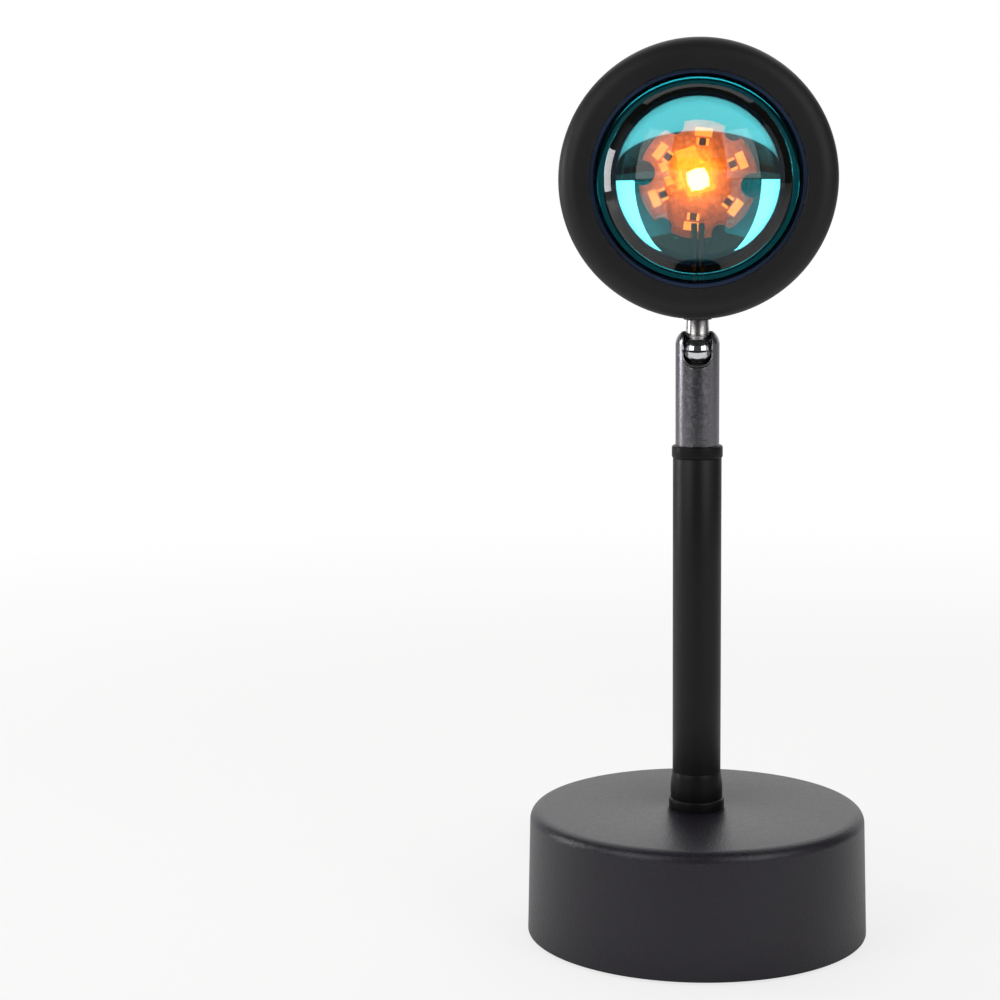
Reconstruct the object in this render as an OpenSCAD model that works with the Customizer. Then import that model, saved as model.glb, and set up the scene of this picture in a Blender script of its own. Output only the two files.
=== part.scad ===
// Sunset projection lamp: a weighted round base, a slim pole, a slotted ball swivel and a drum head
// whose domed lens throws a warm disc of light. Millimetres, +Z up, the light leaves along -Y, and
// the origin lies at the centre of the base on the surface that it stands on.

/* [Base] */
// Diameter of the base at its foot
base_d = 95; // [88:1:130]
// How much the radius shrinks up the side
base_draft = 0.8; // [0:0.1:1.5]
// Height of the base above the table
base_h = 35.6; // [33:0.1:60]
// Radius of the rounded top edge
base_edge_r = 3.2; // [1:0.1:5]
// Side wall of the base shell
base_wall = 2.6; // [2:0.1:3.4]
// Top plate of the base shell
base_top_t = 2.6; // [2:0.1:4]
// Height of the shell's rim above the table
rim_lift = 0.8; // [0.4:0.1:1.2]
// Thickness of the bottom cover
cover_t = 3; // [2.8:0.1:4]
// Width of the ledge that the bottom cover bears on
cover_ledge = 1.4; // [1:0.1:1.6]
// Diameter of the foam pad
pad_d = 84; // [60:1:86]
// Thickness of the foam pad
pad_t = 1.6; // [1.4:0.1:2]
// Diameter of the iron weight
weight_d = 66; // [50:1:66.4]
// Thickness of the iron weight
weight_t = 12; // [6:0.5:13]
// Bore of the iron weight
weight_bore = 20; // [12:1:30]
// Diameter of the circle that the screw posts stand on
post_circle_d = 74; // [74:1:76]
// Diameter of each screw post
post_d = 7; // [6:0.1:7.4]
// Number of screw posts
post_count = 3; // [3:1:5]
// Diameter of the ring rib that holds the weight down
rib_d = 58; // [40:1:62]

/* [Pole] */
// Thread diameter of the hollow nipple
nipple_d = 8; // [7:0.1:8.6]
// Bore of the hollow nipple
nipple_bore = 5.2; // [4:0.1:5.6]
// Diameter of the pole tube
tube_d = 13.4; // [12.8:0.1:13.8]
// Wall of the pole tube
tube_wall = 1; // [0.8:0.1:1.1]
// Length of the pole tube
tube_l = 94.7; // [60:0.1:200]
// Diameter of the ring at the pole's foot
foot_ring_d = 15.4; // [15:0.1:20]
// Height of the ring at the pole's foot
foot_ring_h = 3; // [2:0.1:6]
// Diameter of the sleeve above that ring
foot_sleeve_d = 14.5; // [14.4:0.1:14.9]
// Height of that sleeve
foot_sleeve_h = 7.5; // [5:0.1:12]
// Diameter of the collar at the pole's top
collar_d = 14; // [13.9:0.1:16]
// Height of that collar
collar_h = 3.5; // [2.5:0.1:6]

/* [Swivel] */
// Diameter of the swivel housing
housing_d = 12; // [11.6:0.1:13]
// Height of the swivel housing
housing_h = 31.8; // [29:0.1:40]
// Radius of the housing's rounded shoulder
shoulder_r = 3.9; // [3.2:0.1:4.2]
// Diameter of the ball
ball_d = 9.2; // [8.6:0.1:9.4]
// Depth of the ball's centre below the housing's top
ball_depth = 5.8; // [5.6:0.1:6.4]
// Width of the slot that the neck folds into
slot_w = 7.5; // [7.3:0.1:7.8]
// Diameter of the housing's mouth
mouth_d = 8.4; // [8.2:0.1:8.6]
// Diameter of the rim at the neck's foot
neck_rim_d = 6.9; // [6.6:0.1:7]
// Diameter of the neck where it meets the head
neck_top_d = 6.1; // [6:0.1:6.6]
// Wire bore through the ball and its neck
stud_bore = 3.2; // [2.6:0.1:3.4]
// Thread diameter of the stud inside the head
stud_thread_d = 5.2; // [4.8:0.1:5.6]

/* [Head] */
// Distance from the ball's centre to the light's axis
head_rise = 46.4; // [46.2:0.1:60]
// Diameter of the head
head_d = 74; // [72:0.5:74]
// Depth of the head from back cover to bezel
head_depth = 42; // [41:0.5:50]
// Wall of the head shell
head_wall = 2; // [1.6:0.1:2.4]
// Radius of the shell's rounded back edge
back_edge_r = 4; // [2:0.5:5]
// Width of the rim round the back cover
back_rim_w = 7; // [6.5:0.1:9]
// Depth of the bezel
bezel_depth = 10; // [9:0.5:12]
// Radius of the bezel's rounded front edge
bezel_edge_r = 5; // [2:0.5:5.4]
// Width of the bezel's face round the lens
bezel_face_w = 8.5; // [8.3:0.1:11]
// Thickness of the bezel's front lip
lip_t = 2.5; // [1.5:0.1:3]
// How far the lip of the bezel holds the lens by its flange
lens_hold = 1; // [0.6:0.1:1.4]
// Thickness of the lens flange
flange_t = 3; // [2:0.1:3.4]
// Width of the flat flange that shows round the dome of the lens
flange_w = 0.9; // [0.6:0.1:4]
// Height of the dome of the lens
dome_h = 16; // [10:0.5:22]
// Diameter of the light board
board_d = 20; // [18:0.5:20.5]
// Distance from the lens's flat back to the light board's front
board_distance = 10; // [8:0.1:18]
// How far the light board is turned about the light's axis
board_turn = -7; // [-30:1:30]
// Diameter of the post that carries the light board
pedestal_d = 25; // [24:0.5:30]

/* [Cord] */
// Diameter of the cord
cord_d = 3; // [2.4:0.1:3]
// Height of the cord's exit above the table
exit_z = 7.5; // [6.5:0.1:9]
// Length of the strain relief outside the base
relief_l = 10; // [6:0.5:16]
// Radius of the coil's outer turn
coil_r = 22; // [20:0.5:22]
// Whole turns in the coil, past which it runs on for an eighth
coil_turns = 11; // [7:1:12]
// Spacing of the coil's turns
coil_pitch = 3.5; // [3.5:0.05:3.6]
// Thickness of the tie round the coil
tie_t = 0.5; // [0.4:0.1:0.8]
// Width of the tie round the coil
tie_w = 4; // [3:0.5:8]

/* [Switch and plug] */
// Length of the switch case
switch_l = 42; // [36:1:42]
// Width of the switch case
switch_w = 14; // [13:0.5:14]
// Height of the switch case
switch_h = 11; // [10:0.5:13]
// Diameter of the switch button
button_d = 8; // [6:0.5:9]
// Travel of the switch button
button_travel = 1; // [0.8:0.1:1.4]
// Length of the plug's grip
grip_l = 22; // [16:1:24]
// Width of the plug's grip
grip_w = 15.4; // [14:0.1:15.4]
// Thickness of the plug's grip
grip_t = 8; // [7:0.1:9]

/* [Hidden] */

$fn = 96;
cut = 1;               // how far a cut runs past a face
thread_gap = 0.03;     // radial room between threads drawn as plain cylinders
fit_gap = 0.1;         // room round a piece that drops into its seat
run_gap = 0.05;        // radial room of a running fit
touch_gap = 0.1;       // room between faces of bodies that turn on each other
mould_gap = 0.01;      // room round a piece that is moulded or pressed in

// Colours
matte_black = [0.16, 0.16, 0.17];
satin_nickel = [0.66, 0.65, 0.66];
dark_steel = [0.45, 0.45, 0.46];
bright_steel = [0.75, 0.75, 0.76];
aluminium = [0.8, 0.8, 0.82];
cord_grey = [0.82, 0.82, 0.83];

// Base
base_r = base_d / 2;
base_top_r = base_r - base_draft;
base_slope = base_draft / (base_h - base_edge_r - rim_lift);
function side_r(z) = base_r - base_slope * (z - rim_lift);
cover_top = rim_lift + cover_t;
cover_r = base_r - base_wall + cover_ledge - fit_gap;
pad_sink = pad_t - rim_lift;
weight_top = cover_top + weight_t;
plate_z = base_h - base_top_t;
rib_t = 1.6;
rib_gap = 0.2;
rib_end = plate_z + base_top_t / 2;    // the rib and the posts run into the top plate
rib_notch_w = 6;
rib_notch_h = 7;
post_angle = -90;      // the first post stands at the front
screw_d = 2.9;
screw_head_d = 5.6;
screw_head_t = 1.3;
screw_l = 8;
screw_head_top = pad_t + fit_gap + screw_head_t;     // where a head bears on the cover
recess_t = 0.6;        // cross recess of a small screw head
recess_w = 0.7;

// Pole
washer_t = 1;
washer_d = 18;
nut_t = 3;
nut_flats = 13;
nipple_tail = 4;       // how far the nipple hangs below its nut
nipple_z = plate_z - washer_t - nut_t - nipple_tail;
foot_floor = 1;        // the tube stands this far above the foot ring
tube_z = base_h + foot_ring_h + foot_floor;
tube_top = tube_z + tube_l;
tube_bore = tube_d - 2 * tube_wall;
spigot_h = 10;
foot_top = base_h + foot_ring_h + foot_sleeve_h;
nipple_l = foot_top - nipple_z;
collar_top = tube_top + collar_h;
ferrule_edge = 0.6;    // rounded edges of the ring, the sleeve and the collar

// Swivel
housing_top = collar_top + housing_h;
housing_wall = (housing_d - ball_d) / 2 - fit_gap;
chamber_d = housing_d - 2 * housing_wall;
ball_z = housing_top - ball_depth;
plug_h = 6;
plug_neck_l = 13;
seat_h = 5.4;
seat_top = ball_z - neck_rim_d / 2 - touch_gap;    // just clear of the folded neck
seat_z = seat_top - seat_h;
spring_z = collar_top + plug_h;
spring_wire = 0.9;
spring_curls = 5;
spring_l = seat_z - spring_z;
spring_pitch = (spring_l - spring_wire) / spring_curls;
spring_r = (chamber_d - spring_wire) / 2 - 0.35;
slot_drop = 0.3;       // the slot's round end is centred this far below the ball's centre

// Head, drawn with its light along its own +Z and then turned to -Y
head_z = ball_z + head_rise;
head_r = head_d / 2;
opening_d = head_d - 2 * bezel_face_w;
lens_d = opening_d + 2 * lens_hold;
dome_d = opening_d - 2 * flange_w;
head_front = head_depth / 2;
shell_front = head_front - bezel_depth;
shell_bore_r = head_r - head_wall;
boss_r = 3.8;
boss_drop = 0.9;       // the boss under the head reaches this far below the drum
boss_z = head_z - head_r - boss_drop;
inner_pad_r = 6.2;
inner_pad_z = head_z - shell_bore_r + 1.4;
neck_rim_rise = 3.5;   // the neck's rim starts this far above the ball's centre
stud_shoulder = boss_z - touch_gap;
stud_washer_t = 0.8;
stud_washer_d = 11;
stud_nut_t = 4;
stud_nut_flats = 9;
stud_washer_z = inner_pad_z + touch_gap;
stud_nut_z = stud_washer_z + stud_washer_t;
stud_top = stud_nut_z + stud_nut_t + 1.4;
skirt_t = 2.4;
skirt_l = 4;
lip_z = head_front - lip_t;
flange_z = lip_z - flange_t;
gasket_t = 1;
gasket_z = flange_z - gasket_t;
retainer_t = 3;
retainer_z = gasket_z - retainer_t;
pocket_r = lens_d / 2 + 2 * fit_gap;
aperture_d = dome_d + 1.6;
dome_r = (pow(dome_d / 2, 2) + dome_h * dome_h) / (2 * dome_h);
board_t = 1.6;
board_front = flange_z - board_distance;
board_z = board_front - board_t;
thermal_pad_t = 0.5;
plate_t = 3;
plate_front = -8;      // clear of the stud's nut
pedestal_front = board_z - thermal_pad_t;
plate_back = plate_front - plate_t;
plate_r = shell_bore_r - 2 * fit_gap;
ledge_t = 3.4;
ledge_w = 5;
plate_screw_r = shell_bore_r - 3;
plate_screw_d = 2.5;
plate_head_d = 4.6;
plate_head_t = 1.5;
plate_screw_count = 3;
board_notch_d = 3.2;
board_notches = 6;
board_screw_d = 2.5;
board_head_d = 4.4;
board_head_t = 1.4;
board_thread_l = 5;
board_screw_l = board_t + thermal_pad_t + board_thread_l - 0.6;
pad_inset = 2.2;       // the wires' pads lie this far inside the board's edge
resistor_l = 2.2;
resistor_w = 1.2;
resistor_t = 0.6;
chip_w = 5;
chip_t = 0.9;
chip_lens_d = 4;
chip_turn = board_turn + 23;
back_rebate = 0.4;     // the back cover lies this far inside the shell's back edge
back_cover_t = 2;
back_cover_r = head_r - back_rim_w;
back_ledge_t = 1.8;
back_ledge_w = 4;
back_z = -head_depth / 2;
back_screw_d = 2;
back_head_d = 3.6;
back_head_t = 1.1;
back_screw_count = 3;
back_screw_l = back_cover_t - back_head_t + back_ledge_t;
back_step_w = 13;      // from the back cover's edge to its raised middle
back_step_t = 0.4;

// Wires
wire_d = 1.1;
wire_spread = 1.3;     // the two wires run this far apart
wire_split = ball_z - ball_d / 2 - touch_gap;
stud_wire_z = ball_z - ball_d / 2 + 3 * touch_gap;
exit_turn = atan(0.5); // the cord leaves this far round from straight back, towards +X
exit_way = [sin(exit_turn), cos(exit_turn), 0];
wire_route = [[41, 7.5], [38.5, 7.5], [37, 8.6], [36.4, 10.5], [36.2, 13], [35.8, 16], [34.4, 18.6],
    [31.6, 19.8], [28, 20.2], [20, 20.4], [12, 20.6], [5, 20.9], [2, 21.8], [0.6, 23.6], [0, 26]];
head_wire_start = [0, stud_top - head_z + touch_gap, 0];
head_wire_end = [0, pad_inset - board_d / 2, board_front + wire_d / 2 + touch_gap / 2];
head_wire_rings = 10;
head_wire_rise = 0.8;  // the S is done after this share of the way

// Strain relief
wall_r = side_r(exit_z);
relief_hole_d = 5.2;
relief_flange_d = 8;
relief_flange_t = 1.4;
relief_seat = 0.12;    // room between the flange and the sloping wall
relief_tail = 3;
relief_r = wall_r + relief_flange_t + relief_l;

// Cord routes on the table, chosen by hand, with the ends squared to what they meet
floor_z = cord_d / 2;
coil_z = tie_t + fit_gap + cord_d / 2;
coil_centre = [-6, 74];
coil_layers = 4;
coil_end_turn = coil_turns + 0.125;
coil_layer_turns = coil_end_turn / coil_layers;
coil_sides = 6;
coil_rings = 24;
cord_sides = 8;
switch_x = -40;
switch_y = 91;
switch_mid = switch_h / 2;
stub_l = 3;
stub_d = 5;
switch_wall = 1.4;
switch_corner_r = 4;
switch_post_d = 4.4;
switch_post_y = 15;
switch_screw_d = 1.8;
switch_head_d = 3.2;
switch_head_t = 1;
switch_sink = 0.2;     // the screw heads lie this far inside the case
switch_pilot_d = switch_screw_d + 2 * thread_gap;
switch_skin = 1;       // left over the blind screw holes
switch_screw_l = switch_h - switch_sink - switch_head_t - switch_skin - 0.2;
button_gap = 0.15;
button_stand = 1.4;    // the button stands this far out of the case
button_body = 3;
button_base = switch_h - button_body;
stem_d = 3;
stem_l = 3.4;
module_w = 8;
module_l = 12;
module_t = 4.2;
plug_x = 27;
plug_y = 80;
plug_neck = 8;
plug_neck_d = 5;
grip_corner_r = 2;
shell_l = 12;          // standard size of the metal shell
shell_w = 12;
shell_t = 4.5;
shell_sheet = 0.4;
shell_in = 6.5;        // how deep the metal shell is moulded into the grip
shell_hole_x = 2.6;
shell_hole_w = 2.3;
tongue_t = 1.8;
tongue_w = shell_w - 2 * shell_sheet - 2 * mould_gap;
tongue_inset = 0.6;    // the tongue ends this far inside the metal shell
tongue_y = shell_t / 2 - shell_sheet - mould_gap - tongue_t / 2;
contact_w = 1.2;
contact_t = 0.3;
contact_l = 9;
lead_start = exit_way * relief_r + [0, 0, exit_z];
lead_end = [switch_x, switch_y + switch_l / 2 + stub_l, switch_mid];
lead_route = concat(
    [lead_start, lead_start + cord_d * exit_way],
    [[29.6, 59.4, 6.9], [31.4, 63.2, 5.5], [33.1, 67.2, 3.7], [34.9, 71.3, 2.2], [36.5, 75.5, 1.5],
     [38.5, 82, 1.5], [39.9, 89, 1.5], [40.6, 96, 1.5], [40.8, 103, 1.5], [40.7, 110, 1.5],
     [39.8, 116, 1.5], [37.2, 121.8, 1.5], [33, 126.4, 1.5], [27.6, 129.3, 1.5], [21, 130.4, 1.5],
     [13, 130.5, 1.5], [5, 130.5, 1.5], [-3, 130.5, 1.5], [-11, 130.5, 1.5], [-19, 130.5, 1.5],
     [-26, 129.8, 1.5], [-31.8, 127.7, 2.2], [-36.4, 124.2, 3.6], [-39.2, 120.2, 5]],
    [lead_end + [0, cord_d, 0], lead_end]);
run_start = [switch_x, switch_y - switch_l / 2 - stub_l, switch_mid];
run_end = [coil_centre.x - cord_d, coil_centre.y - coil_r, coil_z];
run_route = concat(
    [run_start, run_start - [0, cord_d, 0]],
    [[-39.5, 60.4, 5.2], [-37.6, 57, 4.4], [-34.6, 54.4, 3.4], [-30.8, 52.7, 2.5], [-26, 52.1, 2.1],
     [-19, 52, 2.1]],
    [run_end - [cord_d, 0, 0], run_end]);
end_way = [cos(45), sin(45), 0];
end_start = point_on_coil(coil_end_turn) + cord_d * end_way;
plug_end = [plug_x, plug_y, grip_t / 2];
end_route = concat(
    [end_start, end_start + cord_d * end_way],
    [[17, 66, 11.6], [19.7, 68.5, 9.5], [22.3, 70.8, 7.1], [24.5, 73, 5.2]],
    [plug_end - [0, cord_d, 0], plug_end]);

// The coil winds in and out again in four layers, and climbs to the next layer in the half turn
// where the spiral reverses.
function wave(t) = let (u = t / coil_layer_turns, f = u - 2 * floor(u / 2)) f < 1 ? f : 2 - f;
function ramp(x) = min(max(x, 0), 1);
function coil_climb(t) =
    ramp(2 * (t - coil_layer_turns) + 0.5) + ramp(2 * (t - 2 * coil_layer_turns) + 0.5)
    + ramp(2 * (t - 3 * coil_layer_turns) + 0.5);
function coil_radius(t) = coil_r - coil_pitch * coil_layer_turns * wave(t);
function point_on_coil(t) = [
    coil_centre.x + coil_radius(t) * cos(360 * t - 90),
    coil_centre.y + coil_radius(t) * sin(360 * t - 90),
    coil_z + coil_pitch * coil_climb(t)];
coil_steps = round(coil_rings * coil_end_turn);
coil_route = concat(
    [run_end],
    [for (i = [0:coil_steps]) point_on_coil(coil_end_turn * i / coil_steps)],
    [end_start]);
coil_inner_r = coil_r - coil_pitch * coil_layer_turns;

// Least distance between turns of the coil, less the cord's own diameter
coil_gap = min([for (i = [0:coil_steps - coil_rings / 2]) for (k = [i + coil_rings / 2:coil_steps])
    norm(coil_route[k + 1] - coil_route[i + 1])]) - cord_d;
echo(least_gap_between_turns = coil_gap);
assert(coil_gap > 0.4, "the turns of the coil lie too close");

// Spring of round wire, with its curls from a formula
function spring_point(t) = [
    spring_r * cos(360 * t), spring_r * sin(360 * t),
    spring_z + spring_wire / 2 + spring_pitch * t];
spring_rings = 8;
spring_sides = 6;
spring_route = [for (i = [0:spring_rings * spring_curls]) spring_point(i / spring_rings)];
echo(least_gap_between_curls = spring_pitch - spring_wire);

function unit(v) = v / norm(v);
function length_of(p) = len(p) < 2 ? 0 : norm(p[1] - p[0]) + length_of([for (i = [1:len(p) - 1]) p[i]]);
function heading(p, i) = unit(p[min(i + 1, len(p) - 1)] - p[max(i - 1, 0)]);
function ring(p, i, r, n, side) =
    let (t = heading(p, i), s = unit(cross(side, t)), u = cross(t, s))
    [for (k = [0:n - 1]) p[i] + r * (cos(360 * k / n) * s + sin(360 * k / n) * u)];

// Round tube swept along a route as one closed mesh. side is any way square to the whole route.
module tube_along(p, d, n, side = [0, 0, 1]) {
    last = len(p) - 1;
    polyhedron(
        points = [for (i = [0:last]) each ring(p, i, d / 2, n, side)],
        faces = concat(
            [for (k = [1:n - 2]) [0, k, k + 1]],
            [for (i = [0:last - 1]) for (k = [0:n - 1]) each
                let (a = i * n + k, b = i * n + (k + 1) % n) [[a, a + n, b], [b, a + n, b + n]]],
            [for (k = [1:n - 2]) [last * n, last * n + k + 1, last * n + k]]),
        convexity = 10);
}

// Points of an arc, for the outline of a turned piece
function arc(centre, r, from, to, steps = 8) =
    [for (i = [0:steps]) let (a = from + (to - from) * i / steps) centre + r * [cos(a), sin(a)]];

module pipe(r_out, r_in, z, h) {
    translate([0, 0, z])
        difference() {
            cylinder(r = r_out, h = h);
            translate([0, 0, -cut]) cylinder(r = r_in, h = h + 2 * cut);
        }
}

module round_about(count, r, from = 0) {
    for (i = [0:count - 1]) rotate([0, 0, from + 360 * i / count]) translate([r, 0, 0]) children();
}

// Screw with its head's underside at z = 0, its shank along -Z and a cross recess on top
module screw(d, l, head_d, head_t) {
    translate([0, 0, -l]) cylinder(d = d, h = l + head_t / 2, $fn = 32);
    difference() {
        cylinder(d = head_d, h = head_t, $fn = 48);
        for (a = [0, 90]) rotate([0, 0, a])
            translate([0, 0, head_t]) cube([head_d * 0.6, recess_w, 2 * recess_t], center = true);
    }
}

module hex_nut(flats, t, bore_r) {
    difference() {
        cylinder(d = flats / cos(30), h = t, $fn = 6);
        translate([0, 0, -cut]) cylinder(r = bore_r, h = t + 2 * cut);
    }
}

// Turns a piece drawn with its light along +Z into the head's place
module in_head() {
    translate([0, 0, head_z]) rotate([90, 0, 0]) children();
}

module on_exit() {
    translate([0, 0, exit_z]) rotate([0, 0, 90 - exit_turn]) rotate([0, 90, 0]) children();
}

// ---- Base ----

module at_cover_posts() {
    round_about(post_count, post_circle_d / 2, post_angle) translate([0, 0, cover_top]) children();
}

module base_outline() {
    polygon(concat(
        [[0, rim_lift], [base_r, rim_lift]],
        arc([base_top_r - base_edge_r, base_h - base_edge_r], base_edge_r, 0, 90),
        [[0, base_h]]));
}

module base_inside() {
    inner_edge = max(base_edge_r - base_wall, 0.2);
    polygon(concat(
        [[0, cover_top], [base_r - base_wall, cover_top]],
        arc([base_top_r - base_wall - inner_edge, plate_z - inner_edge], inner_edge, 0, 90, 4),
        [[0, plate_z]]));
}

module base_shell() {
    color(matte_black)
        difference() {
            union() {
                rotate_extrude()
                    difference() {
                        base_outline();
                        base_inside();
                        square([base_r - base_wall + cover_ledge, cover_top]);
                    }
                pipe(rib_d / 2, rib_d / 2 - rib_t, weight_top + rib_gap, rib_end - weight_top - rib_gap);
                at_cover_posts() cylinder(d = post_d, h = rib_end - cover_top, $fn = 48);
            }
            translate([0, 0, plate_z - cut])
                cylinder(d = nipple_d + 2 * thread_gap, h = base_top_t + 2 * cut);
            at_cover_posts() translate([0, 0, -cut])
                cylinder(r = screw_d / 2 + thread_gap, h = screw_l + cut, $fn = 32);
            on_exit() cylinder(d = relief_hole_d + 2 * thread_gap, h = base_r + cut);
            // notch in the rib for the wires
            rotate([0, 0, 90 - exit_turn])
                translate([rib_d / 2 - 2 * rib_t, -rib_notch_w / 2, weight_top - cut])
                    cube([3 * rib_t, rib_notch_w, rib_notch_h + cut]);
        }
}

module base_weight() {
    color(dark_steel)
        pipe(weight_d / 2, weight_bore / 2, cover_top, weight_t);
}

module base_cover() {
    color(matte_black)
        difference() {
            translate([0, 0, rim_lift]) cylinder(r = cover_r, h = cover_t);
            translate([0, 0, rim_lift - cut]) cylinder(d = pad_d + 2 * fit_gap, h = pad_sink + cut);
            at_cover_posts() translate([0, 0, -cover_t]) {
                cylinder(d = screw_d + 4 * fit_gap, h = cover_t + cut, $fn = 32);
                cylinder(d = screw_head_d + 4 * fit_gap, h = screw_head_top - rim_lift, $fn = 48);
            }
        }
}

module cover_screws() {
    color(bright_steel)
        at_cover_posts() translate([0, 0, screw_head_top - cover_top]) rotate([180, 0, 0])
            screw(screw_d, screw_l, screw_head_d, screw_head_t);
}

module base_pad() {
    color([0.1, 0.1, 0.1]) cylinder(d = pad_d, h = pad_t);
}

module strain_relief() {
    tip_d = cord_d + 1;
    root_d = relief_hole_d;
    groove_w = relief_l * 0.07;
    groove_r = tip_d / 2 - 0.1;
    color(cord_grey)
        on_exit()
            difference() {
                union() {
                    translate([0, 0, wall_r - base_wall - relief_tail])
                        cylinder(d = relief_hole_d, h = base_wall + relief_tail + cut, $fn = 48);
                    translate([0, 0, wall_r + relief_seat])
                        cylinder(d = relief_flange_d, h = relief_flange_t - relief_seat, $fn = 48);
                    translate([0, 0, wall_r + relief_flange_t])
                        cylinder(d1 = root_d, d2 = tip_d, h = relief_l, $fn = 48);
                }
                for (part = [0.3, 0.5, 0.7])
                    pipe(root_d, groove_r, wall_r + relief_flange_t + relief_l * part, groove_w);
                // the wires part inside the base
                translate([0, 0, wall_r - base_wall - relief_tail - cut])
                    cylinder(d = wire_spread + wire_d + 0.4, h = relief_tail + cut, $fn = 32);
            }
}

// ---- Pole ----

module pole_nipple() {
    color(bright_steel) pipe(nipple_d / 2, nipple_bore / 2, nipple_z, nipple_l);
}

module nipple_washer() {
    color(bright_steel) pipe(washer_d / 2, nipple_d / 2 + thread_gap, plate_z - washer_t, washer_t);
}

module nipple_nut() {
    color(bright_steel)
        translate([0, 0, plate_z - washer_t - nut_t]) hex_nut(nut_flats, nut_t, nipple_d / 2 + thread_gap);
}

module pole_foot() {
    ring_r = foot_ring_d / 2;
    sleeve_r = foot_sleeve_d / 2;
    color(matte_black)
        difference() {
            rotate_extrude()
                polygon(concat(
                    [[nipple_d / 2 + thread_gap, base_h], [ring_r, base_h]],
                    arc([ring_r - ferrule_edge, base_h + foot_ring_h - ferrule_edge], ferrule_edge, 0, 90, 5),
                    [[sleeve_r, base_h + foot_ring_h]],
                    arc([sleeve_r - ferrule_edge, foot_top - ferrule_edge], ferrule_edge, 0, 90, 5),
                    [[nipple_d / 2 + thread_gap, foot_top]]));
            pipe(tube_d / 2 + thread_gap, tube_bore / 2 - thread_gap, tube_z, foot_sleeve_h + cut);
        }
}

module pole_tube() {
    color(matte_black) pipe(tube_d / 2, tube_bore / 2, tube_z, tube_l);
}

module pole_collar() {
    r = collar_d / 2;
    bore_r = nipple_d / 2 + thread_gap;
    color(matte_black)
        rotate_extrude()
            polygon(concat(
                [[bore_r, tube_top - spigot_h], [tube_bore / 2 - thread_gap, tube_top - spigot_h],
                 [tube_bore / 2 - thread_gap, tube_top]],
                arc([r - ferrule_edge, tube_top + ferrule_edge], ferrule_edge, -90, 0, 5),
                arc([r - ferrule_edge, collar_top - ferrule_edge], ferrule_edge, 0, 90, 5),
                [[bore_r, collar_top]]));
}

// The two wires, side by side, from the strain relief over the weight and up the pole
module pole_wires() {
    across = cross(exit_way, [0, 0, 1]);
    color([0.75, 0.15, 0.12])
        for (side = [-1, 1])
            tube_along(
                concat(
                    [for (p = wire_route) exit_way * p[0] + across * side * wire_spread / 2 + [0, 0, p[1]]],
                    [across * side * wire_spread / 2 + [0, 0, wire_split]]),
                wire_d, cord_sides, across);
}

// ---- Swivel ----

module swivel_plug() {
    color(satin_nickel)
        difference() {
            union() {
                translate([0, 0, collar_top - plug_neck_l]) cylinder(d = nipple_d, h = plug_neck_l + cut);
                translate([0, 0, collar_top]) cylinder(r = chamber_d / 2 - thread_gap, h = plug_h);
            }
            translate([0, 0, collar_top - plug_neck_l - cut])
                cylinder(d = nipple_bore, h = plug_neck_l + plug_h + 2 * cut);
        }
}

module swivel_spring() {
    color(bright_steel) tube_along(spring_route, spring_wire, spring_sides);
}

module ball_seat() {
    color([0.12, 0.12, 0.12])
        difference() {
            translate([0, 0, seat_z]) cylinder(r = chamber_d / 2 - fit_gap, h = seat_h);
            translate([0, 0, ball_z]) sphere(r = ball_d / 2 + run_gap);
            translate([0, 0, seat_z - cut]) cylinder(d = stud_bore + 0.8, h = seat_h);
        }
}

module swivel_housing() {
    r = housing_d / 2;
    color(satin_nickel)
        difference() {
            rotate_extrude()
                polygon(concat(
                    [[0, collar_top], [r, collar_top]],
                    arc([r - shoulder_r, housing_top - shoulder_r], shoulder_r, 0, 90, 12),
                    [[0, housing_top]]));
            translate([0, 0, collar_top - cut]) cylinder(d = chamber_d, h = ball_z - collar_top + cut);
            translate([0, 0, ball_z]) sphere(d = chamber_d);
            translate([0, 0, ball_z]) cylinder(d = mouth_d, h = ball_depth + cut);
            // slot at the front that the neck folds into
            translate([0, 0, ball_z - slot_drop]) {
                rotate([90, 0, 0]) cylinder(d = slot_w, h = r + cut, $fn = 64);
                translate([-slot_w / 2, -r - cut, 0]) cube([slot_w, r + cut, ball_depth + slot_drop + cut]);
            }
        }
}

module ball_stud() {
    ball_r = ball_d / 2;
    rim_r = neck_rim_d / 2;
    groove_r = rim_r - 0.45;
    top_r = neck_top_d / 2;
    thread_r = stud_thread_d / 2;
    rise = stud_shoulder - ball_z;
    length = stud_top - ball_z;
    color(bright_steel)
        translate([0, 0, ball_z])
            difference() {
                union() {
                    sphere(r = ball_r);
                    rotate_extrude()
                        polygon([
                            [0, 0], [groove_r, 0], [groove_r, neck_rim_rise], [rim_r, neck_rim_rise + 0.2],
                            [rim_r, neck_rim_rise + 0.8], [rim_r - 0.2, neck_rim_rise + 1],
                            [top_r, rise], [thread_r, rise], [thread_r, length], [0, length]]);
                }
                translate([0, 0, -ball_r - cut])
                    cylinder(d = stud_bore, h = length + ball_r + 2 * cut, $fn = 48);
            }
}

module stud_washer() {
    color(bright_steel) pipe(stud_washer_d / 2, stud_thread_d / 2 + thread_gap, stud_washer_z, stud_washer_t);
}

module stud_nut() {
    color(bright_steel)
        translate([0, 0, stud_nut_z]) hex_nut(stud_nut_flats, stud_nut_t, stud_thread_d / 2 + thread_gap);
}

module stud_wires() {
    color([0.75, 0.15, 0.12])
        for (side = [-1, 1])
            translate([side * wire_spread / 2, 0, stud_wire_z])
                cylinder(d = wire_d, h = stud_top - stud_wire_z, $fn = 24);
}

// ---- Head ----

module shell_outline() {
    polygon(concat(
        [[0, back_z]],
        arc([head_r - back_edge_r, back_z + back_edge_r], back_edge_r, -90, 0),
        [[head_r, shell_front], [0, shell_front]]));
}

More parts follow.
